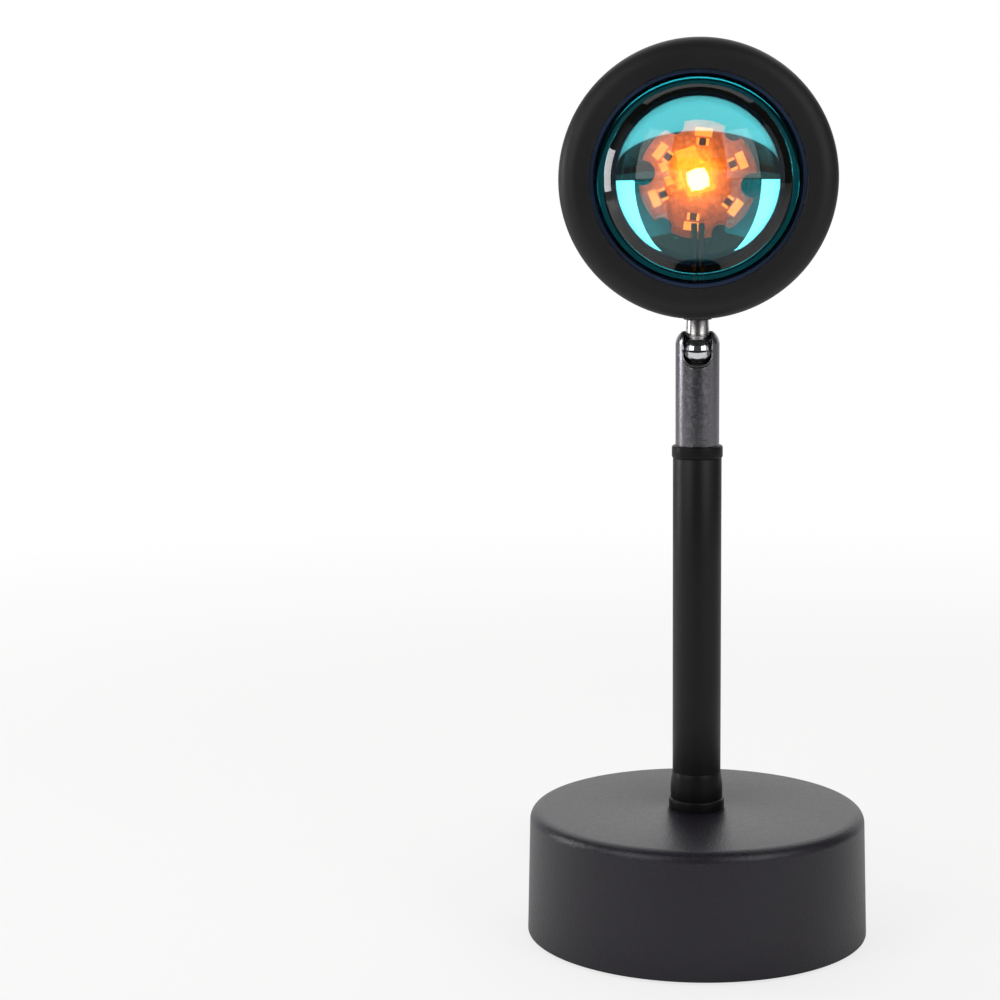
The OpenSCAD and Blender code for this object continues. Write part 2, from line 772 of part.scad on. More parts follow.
module head_shell() {
    ledge_r = back_cover_r - back_ledge_w;
    floor_z2 = back_z + back_rebate + back_cover_t;
    color(matte_black)
        difference() {
            union() {
                in_head()
                    rotate_extrude()
                        difference() {
                            shell_outline();
                            translate([0, floor_z2 + back_ledge_t])
                                square([shell_bore_r, shell_front - floor_z2 - back_ledge_t + cut]);
                            square([2 * ledge_r, 2 * head_depth], center = true);
                            translate([0, back_z - cut])
                                square([back_cover_r + fit_gap, cut + back_rebate + back_cover_t]);
                        }
                in_head()
                    pipe(shell_bore_r + head_wall / 2, shell_bore_r - ledge_w, plate_back - ledge_t, ledge_t);
                // boss under the drum, and the flat pad inside it
                translate([0, 0, boss_z]) cylinder(r = boss_r, h = inner_pad_z - boss_z);
                intersection() {
                    translate([0, 0, boss_z]) cylinder(r = inner_pad_r, h = inner_pad_z - boss_z);
                    in_head() cylinder(r = head_r - head_wall / 2, h = head_depth, center = true);
                }
            }
            translate([0, 0, boss_z - cut])
                cylinder(r = stud_thread_d / 2 + run_gap, h = inner_pad_z - boss_z + 2 * cut);
            in_head() {
                round_about(plate_screw_count, plate_screw_r, 90)
                    translate([0, 0, plate_back - ledge_t - cut])
                        cylinder(r = plate_screw_d / 2 + thread_gap, h = ledge_t + 2 * cut, $fn = 32);
                round_about(back_screw_count, back_cover_r - back_ledge_w / 2, 90)
                    translate([0, 0, floor_z2 - cut])
                        cylinder(r = back_screw_d / 2 + thread_gap, h = back_ledge_t + 2 * cut, $fn = 32);
            }
        }
}

module front_bezel() {
    skirt_r = shell_bore_r - thread_gap;
    color(matte_black)
        in_head()
            rotate_extrude()
                polygon(concat(
                    [[opening_d / 2, lip_z], [pocket_r, lip_z], [pocket_r, retainer_z],
                     [skirt_r - skirt_t, retainer_z - 1], [skirt_r - skirt_t, shell_front - skirt_l],
                     [skirt_r, shell_front - skirt_l], [skirt_r, shell_front], [head_r, shell_front]],
                    arc([head_r - bezel_edge_r, head_front - bezel_edge_r], bezel_edge_r, 0, 90, 10),
                    [[opening_d / 2 + 0.3, head_front], [opening_d / 2, head_front - 0.3]]));
}

module lens() {
    color([0.35, 0.75, 0.78, 0.6])
        in_head() {
            translate([0, 0, flange_z]) cylinder(d = lens_d, h = flange_t);
            intersection() {
                translate([0, 0, lip_z + dome_h - dome_r]) sphere(r = dome_r);
                translate([0, 0, flange_z + flange_t / 2])
                    cylinder(d = dome_d, h = flange_t / 2 + dome_h + cut);
            }
        }
}

module lens_gasket() {
    color([0.2, 0.2, 0.2]) in_head() pipe(lens_d / 2, aperture_d / 2, gasket_z, gasket_t);
}

module lens_retainer() {
    color(matte_black)
        in_head()
            difference() {
                pipe(pocket_r - thread_gap, aperture_d / 2, retainer_z, retainer_t);
                // two notches for the spanner
                translate([0, 0, retainer_z])
                    cube([2 * pocket_r + cut, 2.4, 2], center = true);
            }
}

module mount_plate() {
    color(aluminium)
        in_head()
            difference() {
                union() {
                    translate([0, 0, plate_back]) cylinder(r = plate_r, h = plate_t);
                    translate([0, 0, plate_back]) cylinder(d = pedestal_d, h = pedestal_front - plate_back);
                }
                round_about(plate_screw_count, plate_screw_r, 90)
                    translate([0, 0, plate_back - cut])
                        cylinder(d = plate_screw_d + 0.4, h = plate_t + 2 * cut, $fn = 32);
                round_about(2, board_d / 2, board_turn)
                    translate([0, 0, pedestal_front - board_thread_l])
                        cylinder(r = board_screw_d / 2 + thread_gap, h = board_thread_l + cut, $fn = 32);
            }
}

module plate_screws() {
    color(bright_steel)
        in_head()
            round_about(plate_screw_count, plate_screw_r, 90)
                translate([0, 0, plate_front])
                    screw(plate_screw_d, plate_t + ledge_t - 0.4, plate_head_d, plate_head_t);
}

module thermal_pad() {
    color([0.6, 0.62, 0.66])
        in_head() translate([0, 0, pedestal_front]) cylinder(d = board_d - 3.6, h = thermal_pad_t);
}

// Round board with a notch at each sixth of its rim, two of them round the screws
module led_board() {
    color([0.95, 0.62, 0.2])
        in_head()
            difference() {
                translate([0, 0, board_z]) cylinder(d = board_d, h = board_t);
                round_about(board_notches, board_d / 2, board_turn)
                    translate([0, 0, board_z - cut])
                        cylinder(d = board_notch_d, h = board_t + 2 * cut, $fn = 32);
            }
}

module led_chip() {
    color([1, 0.95, 0.6])
        in_head() {
            rotate([0, 0, chip_turn])
                translate([0, 0, board_front + chip_t / 2]) cube([chip_w, chip_w, chip_t], center = true);
            intersection() {
                translate([0, 0, board_front + chip_t]) sphere(d = chip_lens_d, $fn = 48);
                translate([0, 0, board_front + chip_t / 2])
                    cylinder(d = chip_lens_d + cut, h = chip_lens_d, $fn = 48);
            }
        }
}

// Chip resistors soldered round the chip, one between each two notches
module board_parts() {
    color([0.25, 0.2, 0.15])
        in_head()
            round_about(board_notches, board_d / 2 - 3.4, 180 / board_notches + board_turn)
                translate([0, 0, board_front + resistor_t / 2])
                    cube([resistor_w, resistor_l, resistor_t], center = true);
}

module board_screws() {
    color(bright_steel)
        in_head()
            round_about(2, board_d / 2, board_turn)
                translate([0, 0, board_front])
                    screw(board_screw_d, board_screw_l, board_head_d, board_head_t);
}

// The wires come out of the stud and lean forward in a soft S to their pads below the chip
module head_wires() {
    way = head_wire_end - head_wire_start;
    color([0.75, 0.15, 0.12])
        in_head()
            for (side = [-1, 1])
                translate([side * wire_spread / 2, 0, 0])
                    tube_along(
                        [for (i = [0:head_wire_rings])
                            let (t = i / head_wire_rings, u = min(1, t / head_wire_rise))
                            head_wire_start + [0, way.y * t, way.z * u * u * (3 - 2 * u)]],
                        wire_d, cord_sides, [1, 0, 0]);
}

module back_cover() {
    face = back_z + back_rebate;
    color(matte_black)
        in_head()
            difference() {
                union() {
                    translate([0, 0, face]) cylinder(r = back_cover_r, h = back_cover_t);
                    translate([0, 0, face - back_step_t])
                        cylinder(r = back_cover_r - back_step_w, h = back_step_t + cut);
                }
                round_about(back_screw_count, back_cover_r - back_ledge_w / 2, 90)
                    translate([0, 0, face - cut]) {
                        cylinder(d = back_screw_d + 0.3, h = back_cover_t + 2 * cut, $fn = 32);
                        cylinder(d = back_head_d + 0.3, h = back_head_t + cut, $fn = 48);
                    }
            }
}

module back_screws() {
    face = back_z + back_rebate;
    color(bright_steel)
        in_head()
            round_about(back_screw_count, back_cover_r - back_ledge_w / 2, 90)
                translate([0, 0, face + back_head_t]) rotate([180, 0, 0])
                    screw(back_screw_d, back_screw_l, back_head_d, back_head_t - 0.1);
}

// ---- Cord, switch and plug ----

module cord_lead() {
    color(cord_grey) tube_along(lead_route, cord_d, cord_sides);
}

module cord_run() {
    color(cord_grey) tube_along(run_route, cord_d, cord_sides);
}

module cord_coil() {
    color(cord_grey) tube_along(coil_route, cord_d, coil_sides);
}

module cord_end() {
    color(cord_grey) tube_along(end_route, cord_d, cord_sides);
}

// Flat band round the bundle of turns, at the side away from the base
module cord_tie() {
    low = coil_z - cord_d / 2 - fit_gap;
    high = coil_z + (coil_layers - 1) * coil_pitch + cord_d / 2 + fit_gap;
    near = coil_inner_r - cord_d / 2 - fit_gap;
    far = coil_r + cord_d / 2 + fit_gap;
    color([0.12, 0.12, 0.12])
        translate([coil_centre.x - tie_w / 2, coil_centre.y, 0])
            difference() {
                translate([0, near - tie_t, low - tie_t])
                    cube([tie_w, far - near + 2 * tie_t, high - low + 2 * tie_t]);
                translate([-cut, near, low]) cube([tie_w + 2 * cut, far - near, high - low]);
            }
}

// Rectangle with rounded corners, centred
module rounded_plate(w, l, r) {
    for (sx = [-1, 1]) for (sy = [-1, 1])
        translate([sx * (w / 2 - r), sy * (l / 2 - r)]) circle(r = r, $fn = 48);
    square([w, l - 2 * r], center = true);
    square([w - 2 * r, l], center = true);
}

// Half of the switch case from z = 0 up to the parting line, with its wall, screw posts and cord stubs
module case_half() {
    length = switch_l + 2 * stub_l;
    wall = switch_wall;
    difference() {
        union() {
            linear_extrude(switch_mid) rounded_plate(switch_w, switch_l, switch_corner_r);
            intersection() {
                translate([0, 0, switch_mid]) rotate([90, 0, 0])
                    cylinder(d = stub_d, h = length, center = true, $fn = 48);
                translate([0, 0, switch_mid / 2])
                    cube([stub_d + cut, length + cut, switch_mid], center = true);
            }
        }
        translate([0, 0, wall])
            linear_extrude(switch_mid)
                rounded_plate(switch_w - 2 * wall, switch_l - 2 * wall, switch_corner_r - wall);
    }
    at_posts() cylinder(d = switch_post_d, h = switch_mid, $fn = 48);
}

module at_posts() {
    for (s = [-1, 1]) translate([0, s * switch_post_y, 0]) children();
}

module at_switch() {
    translate([switch_x, switch_y, 0]) children();
}

module switch_base() {
    color(matte_black)
        at_switch()
            difference() {
                case_half();
                at_posts() translate([0, 0, -cut]) {
                    cylinder(d = switch_screw_d + 0.3, h = switch_mid + 2 * cut, $fn = 32);
                    cylinder(d = switch_head_d + 0.4, h = switch_sink + switch_head_t + cut, $fn = 32);
                }
            }
}

module switch_top() {
    color(matte_black)
        at_switch()
            difference() {
                translate([0, 0, switch_h]) mirror([0, 0, 1]) case_half();
                cylinder(d = button_d + 2 * button_gap, h = switch_h + cut);
                at_posts() translate([0, 0, switch_mid - cut])
                    cylinder(d = switch_pilot_d, h = cut + switch_mid - switch_skin, $fn = 32);
            }
}

module switch_screws() {
    color(bright_steel)
        at_switch()
            at_posts() translate([0, 0, switch_sink + switch_head_t]) rotate([180, 0, 0])
                screw(switch_screw_d, switch_screw_l, switch_head_d, switch_head_t);
}

// Latching push switch: a block with a bore that the button's stem slides in
module switch_module() {
    color([0.9, 0.9, 0.86])
        at_switch() translate([0, 0, switch_wall])
            difference() {
                translate([-module_w / 2, -module_l / 2, 0]) cube([module_w, module_l, module_t]);
                translate([0, 0, button_base - stem_l - button_travel - switch_wall - 2 * touch_gap])
                    cylinder(r = stem_d / 2 + run_gap, h = module_t);
            }
}

module switch_button() {
    top = switch_h + button_stand;
    flange_r = button_d / 2 + 0.8;
    flange_top = switch_h - switch_wall - touch_gap;
    edge = 0.5;
    color([0.2, 0.2, 0.21])
        at_switch()
            rotate_extrude()
                polygon(concat(
                    [[0, button_base - stem_l], [stem_d / 2, button_base - stem_l], [stem_d / 2, button_base],
                     [flange_r, button_base], [flange_r, flange_top], [button_d / 2, flange_top]],
                    arc([button_d / 2 - edge, top - edge], edge, 0, 90, 4),
                    [[0, top]]));
}

module at_plug() {
    translate([plug_x, plug_y, grip_t / 2]) rotate([-90, 0, 0]) children();
}

module plug_body() {
    color(cord_grey)
        at_plug()
            difference() {
                union() {
                    cylinder(d1 = plug_neck_d, d2 = plug_neck_d + 1.4, h = plug_neck + cut, $fn = 48);
                    translate([0, 0, plug_neck])
                        linear_extrude(grip_l) rounded_plate(grip_w, grip_t, grip_corner_r);
                }
                translate([0, 0, plug_neck + grip_l - shell_in])
                    linear_extrude(shell_in + cut)
                        square([shell_w + 2 * mould_gap, shell_t + 2 * mould_gap], center = true);
            }
}

module plug_shell() {
    color(bright_steel)
        at_plug()
            translate([0, 0, plug_neck + grip_l - shell_in])
                difference() {
                    linear_extrude(shell_l + shell_in) square([shell_w, shell_t], center = true);
                    translate([0, 0, -cut])
                        linear_extrude(shell_l + shell_in + 2 * cut)
                            square([shell_w - 2 * shell_sheet, shell_t - 2 * shell_sheet], center = true);
                    for (sx = [-1, 1]) for (sy = [-1, 1])
                        translate([sx * shell_hole_x, sy * shell_t / 2, shell_in + shell_l / 2])
                            cube([shell_hole_w, shell_hole_w, shell_hole_w], center = true);
                }
}

module plug_tongue() {
    color([0.93, 0.93, 0.9])
        at_plug()
            translate([0, tongue_y, plug_neck + grip_l - shell_in])
                linear_extrude(shell_l + shell_in - tongue_inset) square([tongue_w, tongue_t], center = true);
}

module plug_contacts() {
    color([0.85, 0.7, 0.35])
        at_plug()
            for (x = [-3.5, -1, 1, 3.5])
                translate([x, tongue_y - (tongue_t + contact_t) / 2, plug_neck + grip_l + shell_l / 2])
                    cube([contact_w, contact_t, contact_l], center = true);
}

echo(cord_lengths = [for (route = [lead_route, run_route, coil_route, end_route]) length_of(route)]);

base_shell();
base_weight();
base_cover();
cover_screws();
base_pad();
strain_relief();
pole_nipple();
nipple_washer();
nipple_nut();
pole_foot();
pole_tube();
pole_collar();
swivel_plug();
swivel_spring();
ball_seat();
swivel_housing();
pole_wires();
ball_stud();
stud_washer();
stud_nut();
stud_wires();
head_shell();
front_bezel();
lens();
lens_gasket();
lens_retainer();
mount_plate();
plate_screws();
thermal_pad();
led_board();
led_chip();
board_parts();
board_screws();
head_wires();
back_cover();
back_screws();
cord_lead();
cord_run();
cord_coil();
cord_end();
cord_tie();
switch_base();
switch_top();
switch_screws();
switch_module();
switch_button();
plug_body();
plug_shell();
plug_tongue();
plug_contacts();
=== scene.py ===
# Sunset projection lamp: a weighted round base, a slim pole, a slotted ball swivel and a drum head
# whose coated domed lens throws a warm disc. Sizes in the sections are millimetres; the light
# leaves along -Y, and the origin lies under the middle of the base.
from math import acos, asin, atan2, cos, degrees, floor, pi, radians, sin, sqrt

import bpy
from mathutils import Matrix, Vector


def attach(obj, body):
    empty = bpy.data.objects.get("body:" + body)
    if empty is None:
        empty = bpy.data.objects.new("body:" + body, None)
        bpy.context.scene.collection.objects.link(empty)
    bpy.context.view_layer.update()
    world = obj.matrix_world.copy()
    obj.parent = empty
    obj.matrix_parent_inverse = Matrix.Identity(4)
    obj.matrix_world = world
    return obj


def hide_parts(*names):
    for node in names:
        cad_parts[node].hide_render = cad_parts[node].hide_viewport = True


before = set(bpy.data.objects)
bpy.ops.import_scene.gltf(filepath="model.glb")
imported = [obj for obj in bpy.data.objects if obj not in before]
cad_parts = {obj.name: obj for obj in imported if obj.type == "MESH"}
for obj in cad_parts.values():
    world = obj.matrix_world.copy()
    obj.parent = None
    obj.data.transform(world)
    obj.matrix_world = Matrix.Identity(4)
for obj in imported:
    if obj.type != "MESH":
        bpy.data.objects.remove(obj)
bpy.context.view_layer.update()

# ---- Camera ----
# Stands 64 cm in front, a little below the lens's axis, and looks 7.6 degrees down and a little to
# the left, which puts the lamp right of the middle. The roll is the photograph's own.
camera = bpy.data.cameras.new("camera")
camera.sensor_width = 36
camera.lens = 83.75
viewpoint = bpy.data.objects.new("camera", camera)
viewpoint.location = (0, -0.63884, 0.20757)
viewpoint.rotation_euler = (radians(82.43), radians(0.5), radians(4.82))
bpy.context.scene.collection.objects.link(viewpoint)
bpy.context.scene.camera = viewpoint
bpy.context.scene.view_settings.view_transform = "Standard"


# ---- Floor, room and lamps ----
# A pale table top in a white room. The camera sees white all round; metal and glass see it behind
# the lamp only, and dim elsewhere. Soft boxes stand at the left and the right and above the back.
def linear(colour):
    """Linear red, green, blue and alpha of an sRGB colour such as "C8C4C0"."""
    parts = [int(colour[i:i + 2], 16) / 255 for i in (0, 2, 4)]
    return [c / 12.92 if c <= 0.04045 else ((c + 0.055) / 1.055) ** 2.4 for c in parts] + [1]


def add(tree, kind, values=None, links=None, **settings):
    """Adds a node with its settings and its sockets' values. A socket is linked to an output, or
    to the first output of a node."""
    node = tree.nodes.new(kind)
    for key, value in settings.items():
        setattr(node, key, value)
    for key, value in (values or {}).items():
        node.inputs[key].default_value = value
    for key, source in (links or {}).items():
        tree.links.new(getattr(source, "outputs", [source])[0], node.inputs[key])
    return node


def give(piece, *materials):
    """Adds materials to a piece's slots, in order."""
    for material in materials:
        piece.data.materials.append(material)


FADE_START, FADE_END = 0.3, 0.85    # metres from the lamp
TABLE_EDGE, EDGE_END = -0.66, -0.69
LIFT = 0.75
table = bpy.data.materials.new("table_top_white")
table.use_nodes = True
tree = table.node_tree
tree.nodes.clear()
light_path = add(tree, "ShaderNodeLightPath")
place = add(tree, "ShaderNodeNewGeometry")
spot = add(tree, "ShaderNodeSeparateXYZ", links={"Vector": place})
distance = add(tree, "ShaderNodeVectorMath", links={0: place}, operation="LENGTH")
surface = add(tree, "ShaderNodeBsdfDiffuse", {"Color": linear("F2F1F0")})
white = add(tree, "ShaderNodeEmission", {"Color": (1, 1, 1, 1), "Strength": 1})
unlit = add(tree, "ShaderNodeBsdfDiffuse", {"Color": linear("2A2A2C")})
# towards the horizon the table turns to the room's white for the camera
far = add(tree, "ShaderNodeMapRange", {"From Min": FADE_START, "From Max": FADE_END},
          {"Value": distance.outputs["Value"]}, interpolation_type="SMOOTHSTEP")
seen_far = add(tree, "ShaderNodeMath", operation="MULTIPLY",
               links={0: far, 1: light_path.outputs["Is Camera Ray"]})
# what mirrors the table sees it end at its front edge
edge = add(tree, "ShaderNodeMapRange", {"From Min": TABLE_EDGE, "From Max": EDGE_END},
           {"Value": spot.outputs["Y"]})
off_camera = add(tree, "ShaderNodeMath", {0: 1}, {1: light_path.outputs["Is Camera Ray"]},
                 operation="SUBTRACT")
past_edge = add(tree, "ShaderNodeMath", operation="MULTIPLY", links={0: edge, 1: off_camera})
near_mix = add(tree, "ShaderNodeMixShader", links={0: past_edge, 1: surface, 2: unlit})
# nearby it is lifted part of the way to white, so that the shadow stays
seen_near = add(tree, "ShaderNodeMath", {1: LIFT}, {0: light_path.outputs["Is Camera Ray"]},
                operation="MULTIPLY")
lifted = add(tree, "ShaderNodeMixShader", links={0: seen_near, 1: near_mix, 2: white})
far_mix = add(tree, "ShaderNodeMixShader", links={0: seen_far, 1: lifted, 2: white})
add(tree, "ShaderNodeOutputMaterial", links={"Surface": far_mix})

bpy.ops.mesh.primitive_plane_add(size=8)
floor_plane = bpy.context.object
floor_plane.name = "floor"
give(floor_plane, table)

REAR_START, REAR_END = 0.5, 0.85    # share of +Y in the way that a mirrored ray goes
DIM, AMBIENT = 0.06, 0.3
room = bpy.data.worlds.new("white_room")
bpy.context.scene.world = room
room.use_nodes = True
tree = room.node_tree
tree.nodes.clear()
light_path = add(tree, "ShaderNodeLightPath")
way = add(tree, "ShaderNodeTexCoord")
spot = add(tree, "ShaderNodeSeparateXYZ", links={"Vector": way.outputs["Generated"]})
behind = add(tree, "ShaderNodeMapRange",
             {"From Min": REAR_START, "From Max": REAR_END, "To Min": DIM, "To Max": 1},
             {"Value": spot.outputs["Y"]}, interpolation_type="SMOOTHSTEP")
mirrored = add(tree, "ShaderNodeMath", operation="MAXIMUM",
               links={0: light_path.outputs["Is Glossy Ray"],
                      1: light_path.outputs["Is Transmission Ray"]})
ambient = add(tree, "ShaderNodeMix", {"A": AMBIENT}, {"Factor": mirrored, "B": behind})
level = add(tree, "ShaderNodeMix", {"B": 1},
            {"Factor": light_path.outputs["Is Camera Ray"], "A": ambient})
glow = add(tree, "ShaderNodeBackground", {"Color": (1, 1, 1, 1)}, {"Strength": level})
add(tree, "ShaderNodeOutputWorld", links={"Surface": glow})


def softbox(name, at, aim, width, height, watts):
    """Rectangular soft light, in metres, turned to where it aims and unseen by the camera."""
    light = bpy.data.lights.new(name, "AREA")
    light.shape = "RECTANGLE"
    light.size, light.size_y, light.energy = width, height, watts
    lamp = bpy.data.objects.new(name, light)
    lamp.location = at
    lamp.rotation_euler = (Vector(aim) - Vector(at)).to_track_quat("-Z", "Y").to_euler()
    lamp.visible_camera = False
    bpy.context.scene.collection.objects.link(lamp)


# two windows beside the camera, which the coated lens shows as crescents
softbox("window_left", (-0.59, -0.611, 0.62), (0, 0, 0.62), 0.52, 0.8, 3.2)
softbox("window_right", (0.59, -0.611, 0.62), (0, 0, 0.62), 0.52, 0.8, 3.2)
# weak light from both sides, and a strip that the lens shows on its left flank
softbox("side_left", (-0.85, -0.15, 0.5), (0, 0, 0.4), 0.5, 0.8, 0.2)
softbox("side_right", (0.86, -0.2, 0.5), (0, 0, 0.4), 0.45, 0.8, 0.35)
softbox("strip_left", (-0.891, 0.125, 0.31), (0, 0, 0.25), 0.19, 0.43, 2.2)
# the ceiling behind the lamp, whose light lies on the base
softbox("ceiling", (0, 0.85, 1.3), (0, 0.1, 0), 2, 1.5, 8.5)


# ---- Cord ----
# Round two-core cord, 3 mm across, in off-white PVC: from the strain relief along the table to the
# switch, and on to the coil that a tie holds behind the base. Only its first part can be seen.
MM = 0.001
CORD_D = 3
EXIT_WAY = Vector((0.4472136, 0.8944272, 0))
EXIT_R = 58.730
EXIT_Z = 7.5
SWITCH_AT = Vector((-40, 91, 0))
SWITCH_HALF_L = 24
SWITCH_CORD_Z = 5.5
COIL_AT = (-6, 74)
COIL_R = 22
COIL_PITCH = 3.5
COIL_TURNS = 11.125
COIL_LAYERS = 4
LAYER_TURNS = COIL_TURNS / COIL_LAYERS
COIL_Z = 2.1
COIL_STEPS = 267


def cord_along(name, points):
    """Smooth round cord through points in millimetres, as a curve of one open spline."""
    curve = bpy.data.curves.new(name, "CURVE")
    curve.dimensions = "3D"
    curve.bevel_depth = 1
    curve.bevel_resolution = 5
    curve.resolution_u = 4
    curve.use_fill_caps = True
    line = curve.splines.new("BEZIER")
    line.bezier_points.add(len(points) - 1)
    for knot, point in zip(line.bezier_points, points):
        knot.co = Vector(point) * MM
        knot.handle_left_type = knot.handle_right_type = "AUTO"
        knot.radius = CORD_D / 2 * MM
    piece = bpy.data.objects.new(name, curve)
    bpy.context.scene.collection.objects.link(piece)
    return piece


lead_start = EXIT_WAY * EXIT_R + Vector((0, 0, EXIT_Z))
lead_end = SWITCH_AT + Vector((0, SWITCH_HALF_L, SWITCH_CORD_Z))
cord_lead = cord_along("cord_to_switch", [
    lead_start, lead_start + CORD_D * EXIT_WAY,
    (29.6, 59.4, 6.9), (31.4, 63.2, 5.5), (33.1, 67.2, 3.7), (34.9, 71.3, 2.2), (36.5, 75.5, 1.6),
    (38.5, 82, 1.5), (39.9, 89, 1.5), (40.6, 96, 1.5), (40.8, 103, 1.5), (40.7, 110, 1.5),
    (39.8, 116, 1.5), (37.2, 121.8, 1.5), (33, 126.4, 1.5), (27.6, 129.3, 1.5), (21, 130.4, 1.5),
    (13, 130.5, 1.5), (5, 130.5, 1.5), (-3, 130.5, 1.5), (-11, 130.5, 1.5), (-19, 130.5, 1.5),
    (-26, 129.8, 1.6), (-31.8, 127.7, 2.2), (-36.4, 124.2, 3.6), (-39.2, 120.2, 5),
    lead_end + Vector((0, CORD_D, 0)), lead_end])
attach(cord_lead, "base")
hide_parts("cord_lead")


def coil_point(turn):
    """Point of the coil, which winds in and out in its layers and climbs where it turns back."""
    u = turn / LAYER_TURNS
    f = u - 2 * floor(u / 2)
    r = COIL_R - COIL_PITCH * LAYER_TURNS * (f if f < 1 else 2 - f)
    climb = sum(min(max(2 * (turn - k * LAYER_TURNS) + 0.5, 0), 1)
                for k in range(1, COIL_LAYERS))
    a = 2 * pi * turn - pi / 2
    return Vector((COIL_AT[0] + r * cos(a), COIL_AT[1] + r * sin(a), COIL_Z + COIL_PITCH * climb))


run_start = SWITCH_AT + Vector((0, -SWITCH_HALF_L, SWITCH_CORD_Z))
run_end = Vector((COIL_AT[0] - CORD_D, COIL_AT[1] - COIL_R, COIL_Z))
end_way = Vector((sqrt(0.5), sqrt(0.5), 0))
end_start = coil_point(COIL_TURNS) + CORD_D * end_way
plug_end = Vector((27, 80, 4))
cord_coil = cord_along("cord_to_plug", [
    run_start, run_start - Vector((0, CORD_D, 0)),
    (-39.5, 60.4, 5.2), (-37.6, 57, 4.4), (-34.6, 54.4, 3.4), (-30.8, 52.7, 2.5), (-26, 52.1, 2.1),
    (-19, 52, 2.1), run_end - Vector((CORD_D, 0, 0)), run_end,
    *[coil_point(COIL_TURNS * i / COIL_STEPS) for i in range(COIL_STEPS + 1)],
    end_start, end_start + CORD_D * end_way,
    (17, 66, 11.6), (19.7, 68.5, 9.5), (22.3, 70.8, 7.1), (24.5, 73, 5.2),
    plug_end - Vector((0, CORD_D, 0)), plug_end])
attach(cord_coil, "base")
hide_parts("cord_run", "cord_coil", "cord_end")


def finish(name, colour, roughness, metallic=0.0, others=None):
    """New material with uniform values on its shader."""
    made = bpy.data.materials.new(name)
    made.use_nodes = True
    values = {"Base Color": linear(colour), "Roughness": roughness, "Metallic": metallic}
    for key, value in {**values, **(others or {})}.items():
        made.node_tree.nodes["Principled BSDF"].inputs[key].default_value = value
    return made


def shading(material):
    """A material's tree, its shader and the piece's own coordinates, which its patterns read."""
    tree = material.node_tree
    at = tree.nodes.get("Texture Coordinate") or add(tree, "ShaderNodeTexCoord")
    return tree, tree.nodes["Principled BSDF"], at.outputs["Object"]


def mottle(material, dark, light, size, low, high):
    """Soft clouds of two close colours and two roughnesses; size is one cloud's, in mm."""
    tree, shader, at = shading(material)
    clouds = add(tree, "ShaderNodeTexNoise",
                 {"Scale": 1 / (size * MM), "Detail": 3, "Roughness": 0.6}, {"Vector": at})
    tint = add(tree, "ShaderNodeMix", {6: linear(dark), 7: linear(light)}, {"Factor": clouds},
               data_type="RGBA")
    tree.links.new(tint.outputs[2], shader.inputs["Base Color"])
    gloss = add(tree, "ShaderNodeMapRange",
                {"From Min": 0.3, "From Max": 0.7, "To Min": low, "To Max": high},
                {"Value": clouds})
    tree.links.new(gloss.outputs["Result"], shader.inputs["Roughness"])


def grain(material, size, depth, stretch=(1, 1, 1)):
    """Fine relief with grains of that size and depth in millimetres, drawn out along an axis."""
    tree, shader, at = shading(material)
    laid = add(tree, "ShaderNodeMapping", {"Scale": stretch}, {"Vector": at})
    bits = add(tree, "ShaderNodeTexNoise",
               {"Scale": 1 / (size * MM), "Detail": 2, "Roughness": 0.55}, {"Vector": laid})
    relief = add(tree, "ShaderNodeBump", {"Strength": 1, "Distance": depth * MM}, {"Height": bits})
    tree.links.new(relief.outputs["Normal"], shader.inputs["Normal"])


# Soft PVC cord sheath, extruded: satin off-white with a faint waviness along it
cord_pvc = finish("pvc_sheath_offwhite", "D9D7D2", 0.42, 0, {
    "Subsurface Weight": 0.05, "Subsurface Radius": (0.001, 0.0008, 0.0006)})
mottle(cord_pvc, "D3D1CC", "DEDCD8", 9, 0.36, 0.5)
grain(cord_pvc, 0.8, 0.02)
for cord in (cord_lead, cord_coil):
    give(cord, cord_pvc)


# ---- Base ----
# Moulded ABS shell with a fine spark-eroded texture, over the iron weight. The top edge is rounded
# and the side draws in a little; the bottom cover, its screws and the foam pad lie inside the rim.
def turned(name, outline, steps, forward=False):
    """Turned piece: its outline, (radius, height) in millimetres, is drawn point by point and spun
    round the pole's axis, or round the light's axis where forward is true."""
    bpy.ops.mesh.primitive_circle_add(vertices=3, radius=MM)
    piece = bpy.context.object
    piece.name = piece.data.name = name
    bpy.ops.object.mode_set(mode="EDIT")
    bpy.ops.mesh.merge(type="CENTER")
    here = Vector((0, 0, 0))
    for n, (r, h) in enumerate(outline):
        there = (Vector((r, -h, HEAD_Z)) if forward else Vector((r, 0, h))) * MM
        if n == 0:
            bpy.ops.transform.translate(value=there)
        else:
            bpy.ops.mesh.extrude_vertices_move(TRANSFORM_OT_translate={"value": there - here})
        here = there
    bpy.ops.mesh.select_all(action="SELECT")
    bpy.ops.mesh.spin(steps=steps, angle=2 * pi, use_auto_merge=False,
                      center=(0, 0, HEAD_Z * MM) if forward else (0, 0, 0),
                      axis=(0, 1, 0) if forward else (0, 0, 1))
    bpy.ops.mesh.select_all(action="SELECT")
    bpy.ops.mesh.remove_doubles(threshold=2e-6)
    bpy.ops.mesh.normals_make_consistent(inside=False)
    bpy.ops.object.mode_set(mode="OBJECT")
    return piece


def arc(r, h, radius, start, end, steps):
    """Points of an arc about (r, h), for an outline; angles in degrees from straight out."""
    turns = [radians(start + (end - start) * i / steps) for i in range(steps + 1)]
    return [(r + radius * cos(a), h + radius * sin(a)) for a in turns]


def pick(*pieces):
    """Selects these pieces alone and makes the first of them active."""
    bpy.ops.object.select_all(action="DESELECT")
    for piece in pieces:
        piece.select_set(True)
    bpy.context.view_layer.objects.active = pieces[0]


